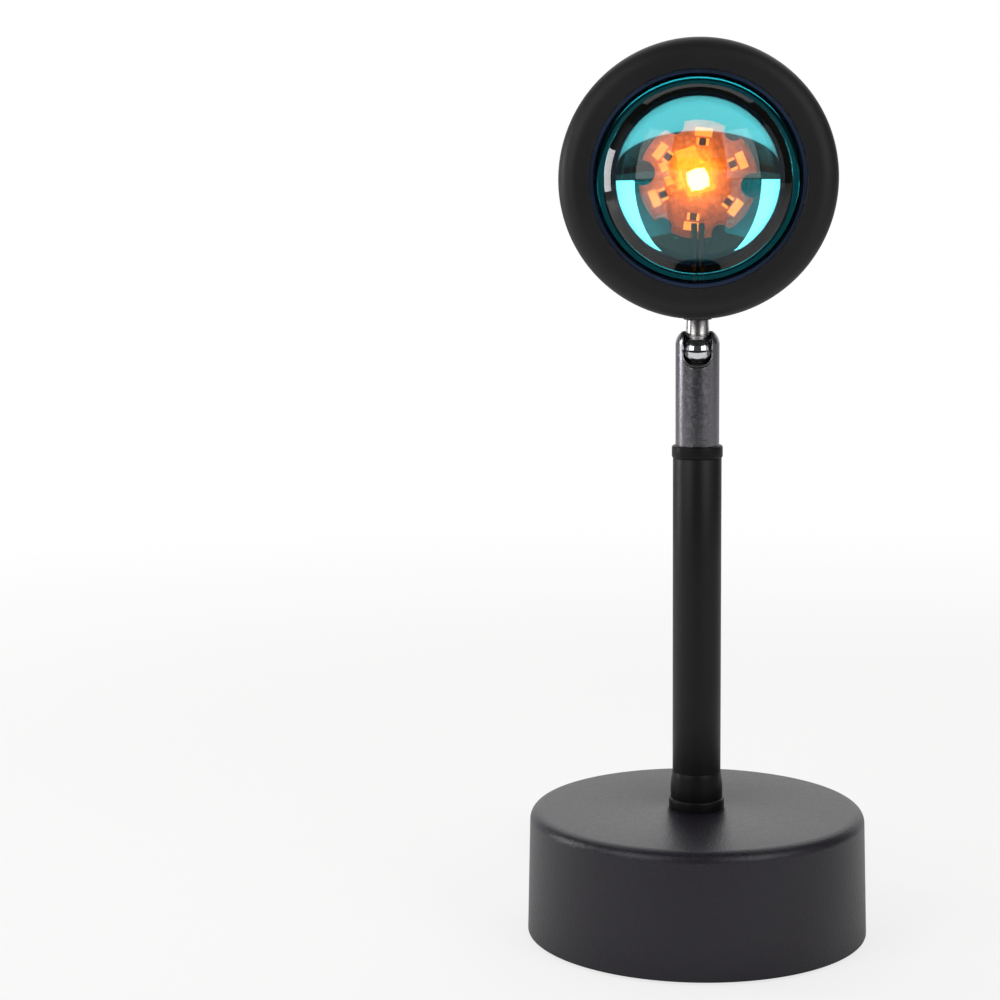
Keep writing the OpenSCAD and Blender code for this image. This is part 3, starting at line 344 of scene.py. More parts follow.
def apply_modifier(piece, kind, **settings):
    """Adds a modifier with its settings and applies it."""
    pick(piece)
    added = piece.modifiers.new(kind.lower(), kind)
    for key, value in settings.items():
        setattr(added, key, value)
    bpy.ops.object.modifier_apply(modifier=added.name)


def finish_edges(piece, width, segments=2, sharp=35):
    """Rounds edges sharper than sharp, in degrees, by that width and shades the rest smooth."""
    if width:
        apply_modifier(piece, "BEVEL", width=width * MM, segments=segments, limit_method="ANGLE",
                       angle_limit=radians(sharp), use_clamp_overlap=True)
    pick(piece)
    bpy.ops.object.shade_smooth_by_angle(angle=radians(38))


def shift(piece, x, y, z):
    """Moves a piece's mesh by millimetres; its origin stays where it is."""
    pick(piece)
    bpy.ops.object.mode_set(mode="EDIT")
    bpy.ops.mesh.select_all(action="SELECT")
    bpy.ops.transform.translate(value=(x * MM, y * MM, z * MM))
    bpy.ops.object.mode_set(mode="OBJECT")


def cut_with(piece, tool, operation="DIFFERENCE"):
    """Cuts piece with tool, or joins the two, and takes the tool away."""
    apply_modifier(piece, "BOOLEAN", object=tool, operation=operation, solver="EXACT")
    bpy.data.objects.remove(tool)


HEAD_Z = 210.2
NIPPLE_HOLE_R = 4.03
BASE_R = 47.5
BASE_TOP_R = 46.7
BASE_H = 35.6
BASE_EDGE_R = 3.2
SIDE_R, SIDE_Z = 47.15, 15          # halfway up the slope of the side
RIM_Z = 0.8
COVER_R = 46.3
COVER_TOP = 3.8
WALL_FOOT_R = 44.9
WALL_TOP_R = 44.1
WALL_EDGE_R = 0.6
PLATE_Z = 33.0
RIB_R, RIB_BORE_R, RIB_Z = 29, 27.4, 16
POST_CIRCLE_R = 37
POST_R, PILOT_R = 3.5, 1.48
POST_TOP, PILOT_TOP = 34.3, 12.8
base_shell = turned("base_shell_dressed", [
    (NIPPLE_HOLE_R, BASE_H),
    *reversed(arc(BASE_TOP_R - BASE_EDGE_R, BASE_H - BASE_EDGE_R, BASE_EDGE_R, 0, 90, 12)),
    (SIDE_R, SIDE_Z), (BASE_R, RIM_Z), (COVER_R, RIM_Z), (COVER_R, COVER_TOP),
    (WALL_FOOT_R, COVER_TOP),
    *arc(WALL_TOP_R - WALL_EDGE_R, PLATE_Z - WALL_EDGE_R, WALL_EDGE_R, 0, 90, 4),
    (RIB_R, PLATE_Z), (RIB_R, RIB_Z), (RIB_BORE_R, RIB_Z), (RIB_BORE_R, PLATE_Z),
    (NIPPLE_HOLE_R, PLATE_Z), (NIPPLE_HOLE_R, BASE_H)], steps=192)
for turn in (-90, 30, 150):
    post = turned("post", [
        (PILOT_R, COVER_TOP), (POST_R, COVER_TOP), (POST_R, POST_TOP), (0, POST_TOP),
        (0, PILOT_TOP), (PILOT_R, PILOT_TOP), (PILOT_R, COVER_TOP)], steps=32)
    shift(post, POST_CIRCLE_R * cos(radians(turn)), POST_CIRCLE_R * sin(radians(turn)), 0)
    cut_with(base_shell, post, "UNION")
finish_edges(base_shell, 0.2)
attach(base_shell, "base")
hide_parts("base_shell")

# ABS from a spark-eroded mould: near-black, dull, with a fine even sparkle of grain. The real
# grain is about 0.1 mm, drawn here at 0.6 to 0.8 mm so that it shows.
base_abs = finish("abs_spark_textured_black", "17141D", 0.36)
mottle(base_abs, "0C0A10", "221D2A", 0.8, 0.33, 0.41)
grain(base_abs, 0.6, 0.1)
give(base_shell, base_abs)


# ---- Foot of the pole ----
# Turned and painted ring with a sleeve that the tube stands in, tapered to meet the tube; the
# nipple screws it down.
TUBE_R, TUBE_BORE_R = 6.7, 5.7
TUBE_FOOT = 39.6
THREAD_ROOM = 0.03
FERRULE_EDGE_R = 0.6
FOOT_RING_R, FOOT_RING_TOP = 7.7, 38.6
SLEEVE_R = 7.25
SLEEVE_TAPER = [(SLEEVE_R, 41.5), (7.15, 43), (6.97, 44.6), (6.75, 46.1)]
FOOT_TOP = SLEEVE_TAPER[-1][1]
pole_foot = turned("pole_foot_dressed", [
    (NIPPLE_HOLE_R, BASE_H), (FOOT_RING_R, BASE_H),
    *arc(FOOT_RING_R - FERRULE_EDGE_R, FOOT_RING_TOP - FERRULE_EDGE_R, FERRULE_EDGE_R, 0, 90, 5),
    (SLEEVE_R, FOOT_RING_TOP), *SLEEVE_TAPER,
    (TUBE_R + THREAD_ROOM, FOOT_TOP), (TUBE_R + THREAD_ROOM, TUBE_FOOT),
    (TUBE_BORE_R - THREAD_ROOM, TUBE_FOOT), (TUBE_BORE_R - THREAD_ROOM, FOOT_TOP),
    (NIPPLE_HOLE_R, FOOT_TOP), (NIPPLE_HOLE_R, BASE_H)], steps=96)
finish_edges(pole_foot, 0.08)
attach(pole_foot, "base")
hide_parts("pole_foot")

# Baked black paint on turned steel: satin, darker than the base, with a faint lathe line
pole_paint = finish("baked_paint_black", "0F0E10", 0.42, 0, {"Specular IOR Level": 0.2})
mottle(pole_paint, "0E0D0F", "121113", 11, 0.38, 0.46)
grain(pole_paint, 0.5, 0.012, (0.2, 0.2, 1))
give(pole_foot, pole_paint)


# ---- Pole tube ----
# Drawn steel tube, 13.4 mm across, with a satin black powder coat. It is held between the foot and
# the collar, and the wires run up inside it.
TUBE_TOP = 134.3
pole_tube = turned("pole_tube_dressed", [
    (TUBE_BORE_R, TUBE_FOOT), (TUBE_R, TUBE_FOOT), (TUBE_R, 70), (TUBE_R, 104),
    (TUBE_R, TUBE_TOP), (TUBE_BORE_R, TUBE_TOP), (TUBE_BORE_R, TUBE_FOOT)], steps=96)
finish_edges(pole_tube, 0.12)
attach(pole_tube, "base")
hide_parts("pole_tube")

# Powder coat: satin black with a slight orange peel of about 1 mm
powder_coat = finish("powder_coat_satin_black", "0E0D10", 0.42, 0, {"Specular IOR Level": 0.3})
mottle(powder_coat, "0D0C0F", "111013", 16, 0.38, 0.46)
grain(powder_coat, 0.9, 0.02, (1, 1, 0.7))
give(pole_tube, powder_coat)


# ---- Collar ----
# Turned black collar between the tube and the swivel. Its spigot is pressed into the tube, and the
# swivel's plug is screwed into its bore.
COLLAR_TOP = 137.8
COLLAR_R = 7
SPIGOT_H = 10
edge_middle = COLLAR_R - FERRULE_EDGE_R
pole_collar = turned("pole_collar_dressed", [
    (NIPPLE_HOLE_R, TUBE_TOP - SPIGOT_H), (TUBE_BORE_R - THREAD_ROOM, TUBE_TOP - SPIGOT_H),
    (TUBE_BORE_R - THREAD_ROOM, TUBE_TOP),
    *arc(edge_middle, TUBE_TOP + FERRULE_EDGE_R, FERRULE_EDGE_R, -90, 0, 5),
    *arc(edge_middle, COLLAR_TOP - FERRULE_EDGE_R, FERRULE_EDGE_R, 0, 90, 5),
    (NIPPLE_HOLE_R, COLLAR_TOP), (NIPPLE_HOLE_R, TUBE_TOP - SPIGOT_H)], steps=96)
finish_edges(pole_collar, 0.08)
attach(pole_collar, "base")
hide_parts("pole_collar")
give(pole_collar, pole_paint)


# ---- Swivel housing ----
# Turned brass housing, satin nickel plated: a tube with a rounded shoulder, milled at the front so
# that the neck folds into it. The slot's rounded edge carries a painted highlight, a brighter
# nickel that makes the bright crescent at its end.
HOUSING_R = 6.0
HOUSING_TOP = 169.6
SHOULDER_R = 3.9
BALL_Z = 163.8
CHAMBER_R = 4.7
MOUTH_R = 4.2
MOUTH_TURN = 57.4       # where the shoulder's arc meets the mouth, in degrees
MOUTH_DROP = 0.62
MOUTH_RISE = 2.11       # above the ball's centre
CHAMBER_TURN = 26.6
SLOT_W = 7.5
SLOT_END = 159.75
housing = turned("swivel_housing_dressed", [
    (CHAMBER_R, COLLAR_TOP), (HOUSING_R, COLLAR_TOP),
    *arc(HOUSING_R - SHOULDER_R, HOUSING_TOP - SHOULDER_R, SHOULDER_R, 0, MOUTH_TURN, 12),
    (MOUTH_R, HOUSING_TOP - MOUTH_DROP), (MOUTH_R, BALL_Z + MOUTH_RISE),
    *arc(0, BALL_Z, CHAMBER_R, CHAMBER_TURN, 0, 6),
    (CHAMBER_R, COLLAR_TOP)], steps=128)
SLOT_CORNER_R = 3.2
FILLET_R = 0.9
TOOL_DEPTH, TOOL_H = 8, 14
FLARE_CUTS, FLARE_FROM, FLARE_STEP = 24, 3.7, 0.1
bpy.ops.mesh.primitive_cube_add(size=MM, scale=(SLOT_W, TOOL_DEPTH, TOOL_H),
                                location=(0, -TOOL_DEPTH / 2 * MM, (SLOT_END + TOOL_H / 2) * MM))
slot_tool = bpy.context.object
bpy.ops.object.transform_apply(location=True, rotation=True, scale=True)
corners = slot_tool.data.vertices
low_sides = [e.index for e in slot_tool.data.edges
             if all(corners[v].co.z < (SLOT_END + 1) * MM for v in e.vertices)
             and abs(sum(corners[v].co.x for v in e.vertices)) > SLOT_W / 2 * MM]
bpy.ops.object.mode_set(mode="EDIT")
bpy.ops.mesh.select_mode(type="EDGE")
bpy.ops.mesh.select_all(action="DESELECT")
bpy.ops.object.mode_set(mode="OBJECT")
for n in low_sides:
    slot_tool.data.edges[n].select = True
bpy.ops.object.mode_set(mode="EDIT")
bpy.ops.mesh.bevel(offset=SLOT_CORNER_R * MM, segments=16)
bpy.ops.mesh.select_mode(type="VERT")
for n in range(FLARE_CUTS):
    bpy.ops.mesh.select_all(action="SELECT")
    bpy.ops.mesh.bisect(plane_co=(0, -(FLARE_FROM + FLARE_STEP * n) * MM, 0), plane_no=(0, 1, 0))
bpy.ops.object.mode_set(mode="OBJECT")
# the tool flares where it leaves the housing, which rounds the slot's edge all along the cylinder
for corner in slot_tool.data.vertices:
    x, y, z = corner.co / MM
    past = (sqrt(x * x + y * y) - HOUSING_R + FILLET_R) / FILLET_R
    if y < -3 and past > 0:
        flare = FILLET_R * (1 - sqrt(1 - min(past, 0.999) ** 2)) + 3 * max(past - 1, 0)
        inner = SLOT_W / 2 - SLOT_CORNER_R
        out = Vector((x - min(max(x, -inner), inner), 0, min(z - SLOT_END - SLOT_CORNER_R, 0)))
        corner.co += flare * MM * out.normalized()
cut_with(housing, slot_tool)
finish_edges(housing, 0.06, 2, 40)
apply_modifier(housing, "WEIGHTED_NORMAL", keep_sharp=True, weight=80)
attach(housing, "base")
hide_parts("swivel_housing")

# Satin nickel plate over fine turning marks: a neutral grey, its highlights spread by the grain
nickel = finish("satin_nickel_plate", "8A888D", 0.25, 1)
mottle(nickel, "807E84", "96949A", 1.2, 0.22, 0.3)
grain(nickel, 0.3, 0.012, (0.5, 0.5, 1))
# Painted highlight: the slot's rounded edge gets a brighter, glossier copy of the nickel, standing
# in for the light it catches
painted_slot_highlight = finish("slot_edge_painted_highlight", "D6D2D0", 0.12, 1)
mottle(painted_slot_highlight, "CECAC8", "DEDAD8", 1, 0.09, 0.17)
give(housing, nickel, painted_slot_highlight)
for face in housing.data.polygons:
    x, y, z = face.center / MM
    in_fillet = HOUSING_R - FILLET_R < sqrt(x * x + y * y) < HOUSING_R - 0.03
    if in_fillet and y < -2.5 and z < HOUSING_TOP - SHOULDER_R:
        face.material_index = 1


# ---- Inside the swivel ----
# Brass plug that carries the housing, steel spring, and the moulded acetal seat that the spring
# presses up against the ball, so that the head stays where it is turned.
def dress_node(name, material):
    """Gives a CAD node that stays its material, in each of its slots."""
    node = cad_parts[name]
    for held in node.material_slots:
        held.material = material
    if not node.material_slots:
        give(node, material)


# Turned brass: warm yellow, with fine rings
brass = finish("turned_brass", "C9A660", 0.3, 1)
mottle(brass, "C09C55", "D2B06C", 4, 0.25, 0.36)
grain(brass, 0.3, 0.004, (0.1, 0.1, 1))
dress_node("swivel_plug", brass)
# Drawn steel wire: grey and fairly bright
spring_steel = finish("drawn_spring_steel", "A9A9AC", 0.25, 1)
mottle(spring_steel, "9E9EA2", "B4B4B6", 2, 0.2, 0.32)
dress_node("swivel_spring", spring_steel)
# Moulded acetal: black, waxy
acetal = finish("acetal_black", "1B1B1C", 0.4)
mottle(acetal, "181819", "202021", 2, 0.36, 0.44)
dress_node("ball_seat", acetal)


# ---- Ball stud ----
# Turned steel ball with its neck and threaded stud, bored for the wires: the ball is polished and
# chromed, and the neck above it keeps a satin plate.
BALL_R = 4.6
BALL_FOOT = BALL_Z - 4.313          # where the bore comes out of the ball
BORE_TURN, NECK_TURN = -69.6, 48.5  # where the ball meets its bore and its neck, in degrees
NECK_Z = BALL_Z + 3.5
NECK_R, NECK_RIM_R = 3.05, 3.45
STUD_BORE_R, THREAD_R = 1.6, 2.6
SHOULDER_Z, STUD_TOP = 172.2, 182.9
ball_stud = turned("ball_stud_dressed", [
    (STUD_BORE_R, BALL_FOOT), *arc(0, BALL_Z, BALL_R, BORE_TURN, NECK_TURN, 40),
    (3.0, NECK_Z), (NECK_RIM_R, NECK_Z + 0.2), (NECK_RIM_R, NECK_Z + 0.8),
    (NECK_RIM_R - 0.2, NECK_Z + 1), (NECK_R, SHOULDER_Z), (THREAD_R, SHOULDER_Z),
    (THREAD_R, STUD_TOP), (STUD_BORE_R, STUD_TOP), (STUD_BORE_R, BALL_FOOT)], steps=96)
finish_edges(ball_stud, 0.06, 2, 25)
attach(ball_stud, "stud")
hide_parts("ball_stud")

# Bright chrome on polished steel: almost a mirror, a little blue
chrome = finish("polished_chrome", "DFE1E4", 0.06, 1)
mottle(chrome, "DCDEE2", "E3E5E7", 2, 0.05, 0.09)
# Satin plate on the neck: pale grey, its highlights spread by turning marks
neck_plate = finish("satin_neck_plate", "C6C3C3", 0.28, 1)
mottle(neck_plate, "BEBBBB", "CECBCB", 1.5, 0.24, 0.34)
grain(neck_plate, 0.25, 0.005, (0.15, 0.15, 1))
give(ball_stud, chrome, neck_plate)
for face in ball_stud.data.polygons:
    if face.center.z > (NECK_Z + 0.02) * MM:
        face.material_index = 1


# ---- Head shell ----
# Spun aluminium drum in matt black paint: rounded at the back, with a rebate for the back cover,
# an inner ledge for the mount plate and a boss underneath that the stud is screwed into.
HEAD_R, SHELL_BORE_R = 37, 35
HEAD_BACK, BACK_EDGE_R = -21, 4
BEZEL_SEAT = 11                     # where the shell ends and the bezel begins
SIDE_MIDDLE = -3
REBATE_R, REBATE_Z = 30.1, -18.6    # the back cover lies in this rebate
COVER_LEDGE_R, COVER_LEDGE_Z = 26, -16.8
PLATE_LEDGE_R, PLATE_LEDGE_Z, PLATE_BACK = 30, -14.4, -11
head_shell = turned("head_shell_dressed", [
    (SHELL_BORE_R, BEZEL_SEAT), (HEAD_R, BEZEL_SEAT), (HEAD_R, SIDE_MIDDLE),
    *arc(HEAD_R - BACK_EDGE_R, HEAD_BACK + BACK_EDGE_R, BACK_EDGE_R, 0, -90, 10),
    (REBATE_R, HEAD_BACK), (REBATE_R, REBATE_Z), (COVER_LEDGE_R, REBATE_Z),
    (COVER_LEDGE_R, COVER_LEDGE_Z), (SHELL_BORE_R, COVER_LEDGE_Z), (SHELL_BORE_R, PLATE_LEDGE_Z),
    (PLATE_LEDGE_R, PLATE_LEDGE_Z), (PLATE_LEDGE_R, PLATE_BACK), (SHELL_BORE_R, PLATE_BACK),
    (SHELL_BORE_R, BEZEL_SEAT)], steps=192, forward=True)
BOSS_R, BOSS_Z = 3.8, 172.3
INNER_PAD_R, INNER_PAD_Z = 6.2, 174.4
INNER_PAD_TOP = 176.6
STUD_HOLE_R, STUD_HOLE_FOOT, STUD_HOLE_TOP = 2.65, 170, 180
for name, r, low, high, steps, operation in (
        ("boss", BOSS_R, BOSS_Z, INNER_PAD_TOP, 64, "UNION"),
        ("pad", INNER_PAD_R, INNER_PAD_Z, INNER_PAD_TOP, 64, "UNION"),
        ("bore", STUD_HOLE_R, STUD_HOLE_FOOT, STUD_HOLE_TOP, 48, "DIFFERENCE")):
    tool = turned(name, [(0, low), (r, low), (r, high), (0, high)], steps)
    cut_with(head_shell, tool, operation)
finish_edges(head_shell, 0.15)
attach(head_shell, "head")
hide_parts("head_shell")

# Matt paint on spun aluminium: dull black, with a very fine spray grain
head_paint = finish("matt_spray_paint_black", "141316", 0.5, 0, {"Specular IOR Level": 0.35})
mottle(head_paint, "131215", "161518", 20, 0.46, 0.56)
grain(head_paint, 0.35, 0.03)
give(head_shell, head_paint)


# ---- Front bezel ----
# The drum's front ring, cast and painted like the shell, pushed into it by its skirt. Its rounded
# face holds the lens by the flange.
OPENING_R = 28.5
HEAD_FRONT, FRONT_EDGE_R = 21, 5
LIP_Z, LIP_CHAMFER = 18.5, 0.3
POCKET_R, POCKET_END = 29.7, 11.5   # the lens, its gasket and its ring lie in this pocket
SKIRT_BORE_R, SKIRT_R = 32.57, 34.97
SKIRT_END = 7
bezel = turned("front_bezel_dressed", [
    (OPENING_R, LIP_Z), (POCKET_R, LIP_Z), (POCKET_R, POCKET_END), (SKIRT_BORE_R, POCKET_END - 1),
    (SKIRT_BORE_R, SKIRT_END), (SKIRT_R, SKIRT_END), (SKIRT_R, BEZEL_SEAT), (HEAD_R, BEZEL_SEAT),
    *arc(HEAD_R - FRONT_EDGE_R, HEAD_FRONT - FRONT_EDGE_R, FRONT_EDGE_R, 0, 90, 14),
    (OPENING_R + LIP_CHAMFER, HEAD_FRONT), (OPENING_R, HEAD_FRONT - LIP_CHAMFER),
    (OPENING_R, LIP_Z)], steps=192, forward=True)
finish_edges(bezel, 0.12)
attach(bezel, "head")
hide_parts("front_bezel")
give(bezel, head_paint)


# ---- Lens ----
# Pressed and polished plano-convex lens, 19 mm thick. Its flat back carries a dichroic coating,
# which mirrors blue-green and lets orange through; the flange sits under the bezel's lip.
LENS_BACK = 15.5
LENS_R, LENS_CHAMFER = 29.5, 0.2
DOME_FOOT = LIP_Z
DOME_R = 27.6
DOME_H = 16
DOME_BALL_R = (DOME_R ** 2 + DOME_H ** 2) / (2 * DOME_H)
DOME_BALL_Z = DOME_FOOT + DOME_H - DOME_BALL_R
lens = turned("lens_dressed", [
    (0, LENS_BACK), (DOME_R, LENS_BACK), (LENS_R - LENS_CHAMFER, LENS_BACK),
    (LENS_R, LENS_BACK + LENS_CHAMFER), (LENS_R, DOME_FOOT - LENS_CHAMFER),
    (LENS_R - LENS_CHAMFER, DOME_FOOT),
    *arc(0, DOME_BALL_Z, DOME_BALL_R, degrees(acos(DOME_R / DOME_BALL_R)), 90, 60)],
    steps=192, forward=True)
finish_edges(lens, 0)
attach(lens, "head")
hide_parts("lens")

# Clear optical glass, polished: no colour of its own, only sharp reflections
glass = finish("polished_glass", "F4FCFC", 0, 0, {"Transmission Weight": 1, "IOR": 1.5})
# Dichroic coating on the flat back: mirrors blue-green from the front, passes orange from behind
coating = bpy.data.materials.new("dichroic_coating")
coating.use_nodes = True
tree = coating.node_tree
tree.nodes.clear()
mirror = add(tree, "ShaderNodeBsdfGlossy", {"Color": linear("72F0FB"), "Roughness": 0.02})
passed = add(tree, "ShaderNodeBsdfRefraction",
             {"Color": linear("F4A868"), "Roughness": 0, "IOR": 1.5})
both = add(tree, "ShaderNodeAddShader", links={0: mirror, 1: passed})
add(tree, "ShaderNodeOutputMaterial", links={"Surface": both})
# Ink on the rim and the flange, which keeps stray light out; its navy is a painted reflection, the
# dark blue of the ring that shows there
edge_ink = finish("edge_ink_navy_painted_reflection", "22385A", 0.5)
mottle(edge_ink, "1F3353", "263E62", 1.5, 0.45, 0.55)
give(lens, glass, coating, edge_ink)
for face in lens.data.polygons:
    from_axis = sqrt(face.center.x ** 2 + (face.center.z - HEAD_Z * MM) ** 2)
    if from_axis > (DOME_R + 0.02) * MM:
        face.material_index = 2
    elif face.center.y > -(LENS_BACK + 0.05) * MM:
        face.material_index = 1


# ---- Light board ----
# Round aluminium board, its own chip's amber light painted on it as a glow. It is notched at each
# sixth of its rim, for the screws that hold it on the plate's post, and has a tinned pad on each
# lobe between the notches.
BOARD_Z = 3.9
BOARD_FRONT = 5.5
BOARD_R = 10
BOARD_TURN = radians(-7)
NOTCH_R = 1.6
NOTCH_TURN = radians(85.4)      # half of the notch's arc that lies inside the board's edge
bpy.ops.mesh.primitive_circle_add(vertices=240, radius=BOARD_R * MM, fill_type="NGON",
                                  location=(0, -BOARD_Z * MM, HEAD_Z * MM), rotation=(pi / 2, 0, 0))
board = bpy.context.object
board.name = board.data.name = "led_board_dressed"
bpy.ops.object.transform_apply(location=True, rotation=True, scale=True)
# the rim's points near each sixth of a turn move onto the notch's arc
half = 2 * asin(NOTCH_R / (2 * BOARD_R))
for corner in board.data.vertices:
    a = atan2(corner.co.z - HEAD_Z * MM, corner.co.x)
    nearest = round((a - BOARD_TURN) / (pi / 3)) * pi / 3 + BOARD_TURN
    if abs(a - nearest) < half:
        t = (a - nearest) / half * NOTCH_TURN
        out, side = (BOARD_R - NOTCH_R * cos(t)) * MM, NOTCH_R * sin(t) * MM
        corner.co.x = out * cos(nearest) - side * sin(nearest)
        corner.co.z = HEAD_Z * MM + out * sin(nearest) + side * cos(nearest)
bpy.ops.object.mode_set(mode="EDIT")
bpy.ops.mesh.select_all(action="SELECT")
bpy.ops.mesh.extrude_region_move(
    TRANSFORM_OT_translate={"value": (0, -(BOARD_FRONT - BOARD_Z) * MM, 0)})
bpy.ops.mesh.select_all(action="SELECT")
bpy.ops.mesh.normals_make_consistent(inside=False)
bpy.ops.object.mode_set(mode="OBJECT")
finish_edges(board, 0.1)
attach(board, "head")
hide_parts("led_board")

# White solder mask with the chip's light painted on it as a glow: yellow next to it, orange and
# then red-brown at the rim, with the gaps between the copper areas showing through as darker lines
BLOTS_PER_MM = 0.7
TRACKS_PER_MM = 0.95
WANDER = 5.5            # millimetres by which the blots carry the glow's colours out
GLOW_SPAN = 14          # millimetres from the glow's middle to the last colour
GLOW_X, GLOW_Z = -1, 1.6
HALO_IN, HALO_OUT = 2.6, 6
board_mask = finish("solder_mask_painted_amber_glow", "E08A30", 0.4)
tree, shader, at = shading(board_mask)
middle = add(tree, "ShaderNodeMapping", {"Location": (0, 0, -HEAD_Z), "Scale": (1 / MM, 0, 1 / MM)},
             {"Vector": at})
from_chip = add(tree, "ShaderNodeVectorMath", links={0: middle}, operation="LENGTH")
blots = add(tree, "ShaderNodeTexNoise", {"Scale": BLOTS_PER_MM / MM, "Detail": 3}, {"Vector": at})
wander = add(tree, "ShaderNodeMath", {1: WANDER}, {0: blots}, operation="MULTIPLY")
# the glow lies a little up and to the left of the chip
glow_middle = add(tree, "ShaderNodeVectorMath", {1: (-GLOW_X, 0, -GLOW_Z)},
                  {0: middle}, operation="ADD")
from_glow = add(tree, "ShaderNodeVectorMath", links={0: glow_middle}, operation="LENGTH")
away = add(tree, "ShaderNodeMath", operation="ADD",
           links={0: from_glow.outputs["Value"], 1: wander})
share = add(tree, "ShaderNodeMath", {1: GLOW_SPAN}, {0: away}, operation="DIVIDE")
ramp = add(tree, "ShaderNodeValToRGB", links={"Fac": share})
stops = ramp.color_ramp.elements
stops[0].position, stops[0].color = 0.3, linear("FFE070")
stops[1].position, stops[1].color = 0.95, linear("7A4A28")
for place, colour in ((0.42, "FFC860"), (0.55, "DC9248"), (0.8, "AC6832")):
    stop = stops.new(place)
    stop.color = linear(colour)
plots = add(tree, "ShaderNodeTexVoronoi", {"Scale": TRACKS_PER_MM / MM, "Randomness": 0.7},
            {"Vector": at}, feature="DISTANCE_TO_EDGE", distance="MANHATTAN")
track = add(tree, "ShaderNodeMapRange",
            {"From Min": 0.03, "From Max": 0.12, "To Min": 0.8, "To Max": 1}, {"Value": plots})
printed = add(tree, "ShaderNodeVectorMath", operation="MULTIPLY", links={0: ramp, 1: track})
tree.links.new(printed.outputs["Vector"], shader.inputs["Base Color"])
tree.links.new(printed.outputs["Vector"], shader.inputs["Emission Color"])
# painted glow: the board shines brightest next to the chip and less towards its rim
halo = add(tree, "ShaderNodeMapRange",
           {"From Min": HALO_IN, "From Max": HALO_OUT, "To Min": 2.4, "To Max": 1.1},
           {"Value": from_chip.outputs["Value"]}, interpolation_type="SMOOTHSTEP")
tree.links.new(halo.outputs["Result"], shader.inputs["Emission Strength"])
grain(board_mask, 0.6, 0.05)
give(board, board_mask)


# ---- Chip ----
# Square light-emitting package soldered to the board: a moulded body with a painted yellow glow, a
# die under phosphor that glows white-hot, and a clear silicone dome over it.
def box_piece(name, at, size, turn, edge):
    """Block with rounded edges. Its place and size run along the head's right, up and forward."""
    right, up, forward = at
    width, height, depth = size
    bpy.ops.mesh.primitive_cube_add(
        size=MM, scale=(width, depth, height), rotation=(0, -turn, 0),
        location=(right * MM, -forward * MM, (HEAD_Z + up) * MM))
    piece = bpy.context.object
    piece.name = piece.data.name = name
    bpy.ops.object.transform_apply(location=True, rotation=True, scale=True)
    finish_edges(piece, edge, 3)
    return piece


def join(name, parts):
    """Makes one piece of several."""
    pick(*parts)
    bpy.ops.object.join()
    parts[0].name = parts[0].data.name = name
    return parts[0]


def lit_blots(material, dark, light, per_mm, detail, strength,
              sockets=("Base Color", "Emission Color")):
    """Makes a material glow in soft blots of two colours, so many to the millimetre."""
    tree, shader, at = shading(material)
    blots = add(tree, "ShaderNodeTexNoise", {"Scale": per_mm / MM, "Detail": detail},
                {"Vector": at})
    tint = add(tree, "ShaderNodeMix", {6: linear(dark), 7: linear(light)}, {"Factor": blots},
               data_type="RGBA")
    for socket in sockets:
        tree.links.new(tint.outputs[2], shader.inputs[socket])
    shader.inputs["Emission Strength"].default_value = strength


# Moulded epoxy body of the chip, with the light of the die under it painted on as a yellow glow
package_colour = finish("led_package_painted_yellow_glow", "FFBE40", 0.4)
lit_blots(package_colour, "FFAE34", "FFD468", 0.9, 2, 2.3)
# Phosphor over the die, burning out to white
phosphor = finish("led_phosphor_hot", "FFF6D8", 0.5)
lit_blots(phosphor, "FFF2C8", "FFFDF4", 2.5, 1, 14, ["Emission Color"])
CHIP_TURN = BOARD_TURN + radians(23)
PACKAGE_W, PACKAGE_T = 5, 0.9
PACKAGE_FRONT = BOARD_FRONT + PACKAGE_T
DIE_W, DIE_T = 3.3, 0.14
SILICONE_R = 2.0
package = box_piece("package", (0, 0, BOARD_FRONT + PACKAGE_T / 2),
                    (PACKAGE_W, PACKAGE_W, PACKAGE_T), CHIP_TURN, 0.12)
give(package, package_colour)
die = box_piece("die", (0, 0, PACKAGE_FRONT + 0.05), (DIE_W, DIE_W, DIE_T), CHIP_TURN, 0.03)
give(die, phosphor)
silicone = turned("silicone", [
    *arc(0, PACKAGE_FRONT, SILICONE_R, 0, 90, 16), (0, PACKAGE_FRONT), (SILICONE_R, PACKAGE_FRONT)],
    steps=48, forward=True)
finish_edges(silicone, 0)
# Clear cast silicone
clear_silicone = finish("clear_silicone", "FFF8E8", 0.03, 0,
                        {"Transmission Weight": 1, "IOR": 1.41})
give(silicone, clear_silicone)
led_chip = join("led_chip_dressed", [package, die, silicone])
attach(led_chip, "head")
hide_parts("led_chip")


# ---- Resistors and pads ----
# Six chip resistors with tinned ends, soldered round the chip, a tinned pad on each lobe of the
# board, two small test pads and the copper land above the chip, all with a painted glow of its
# light.

# Tin solder, with the chip's light painted on it as a bright glow
tin = finish("solder_tin_painted_glow", "FFD890", 0.3)
lit_blots(tin, "E8B858", "FFE090", 1.2, 2, 1.5)
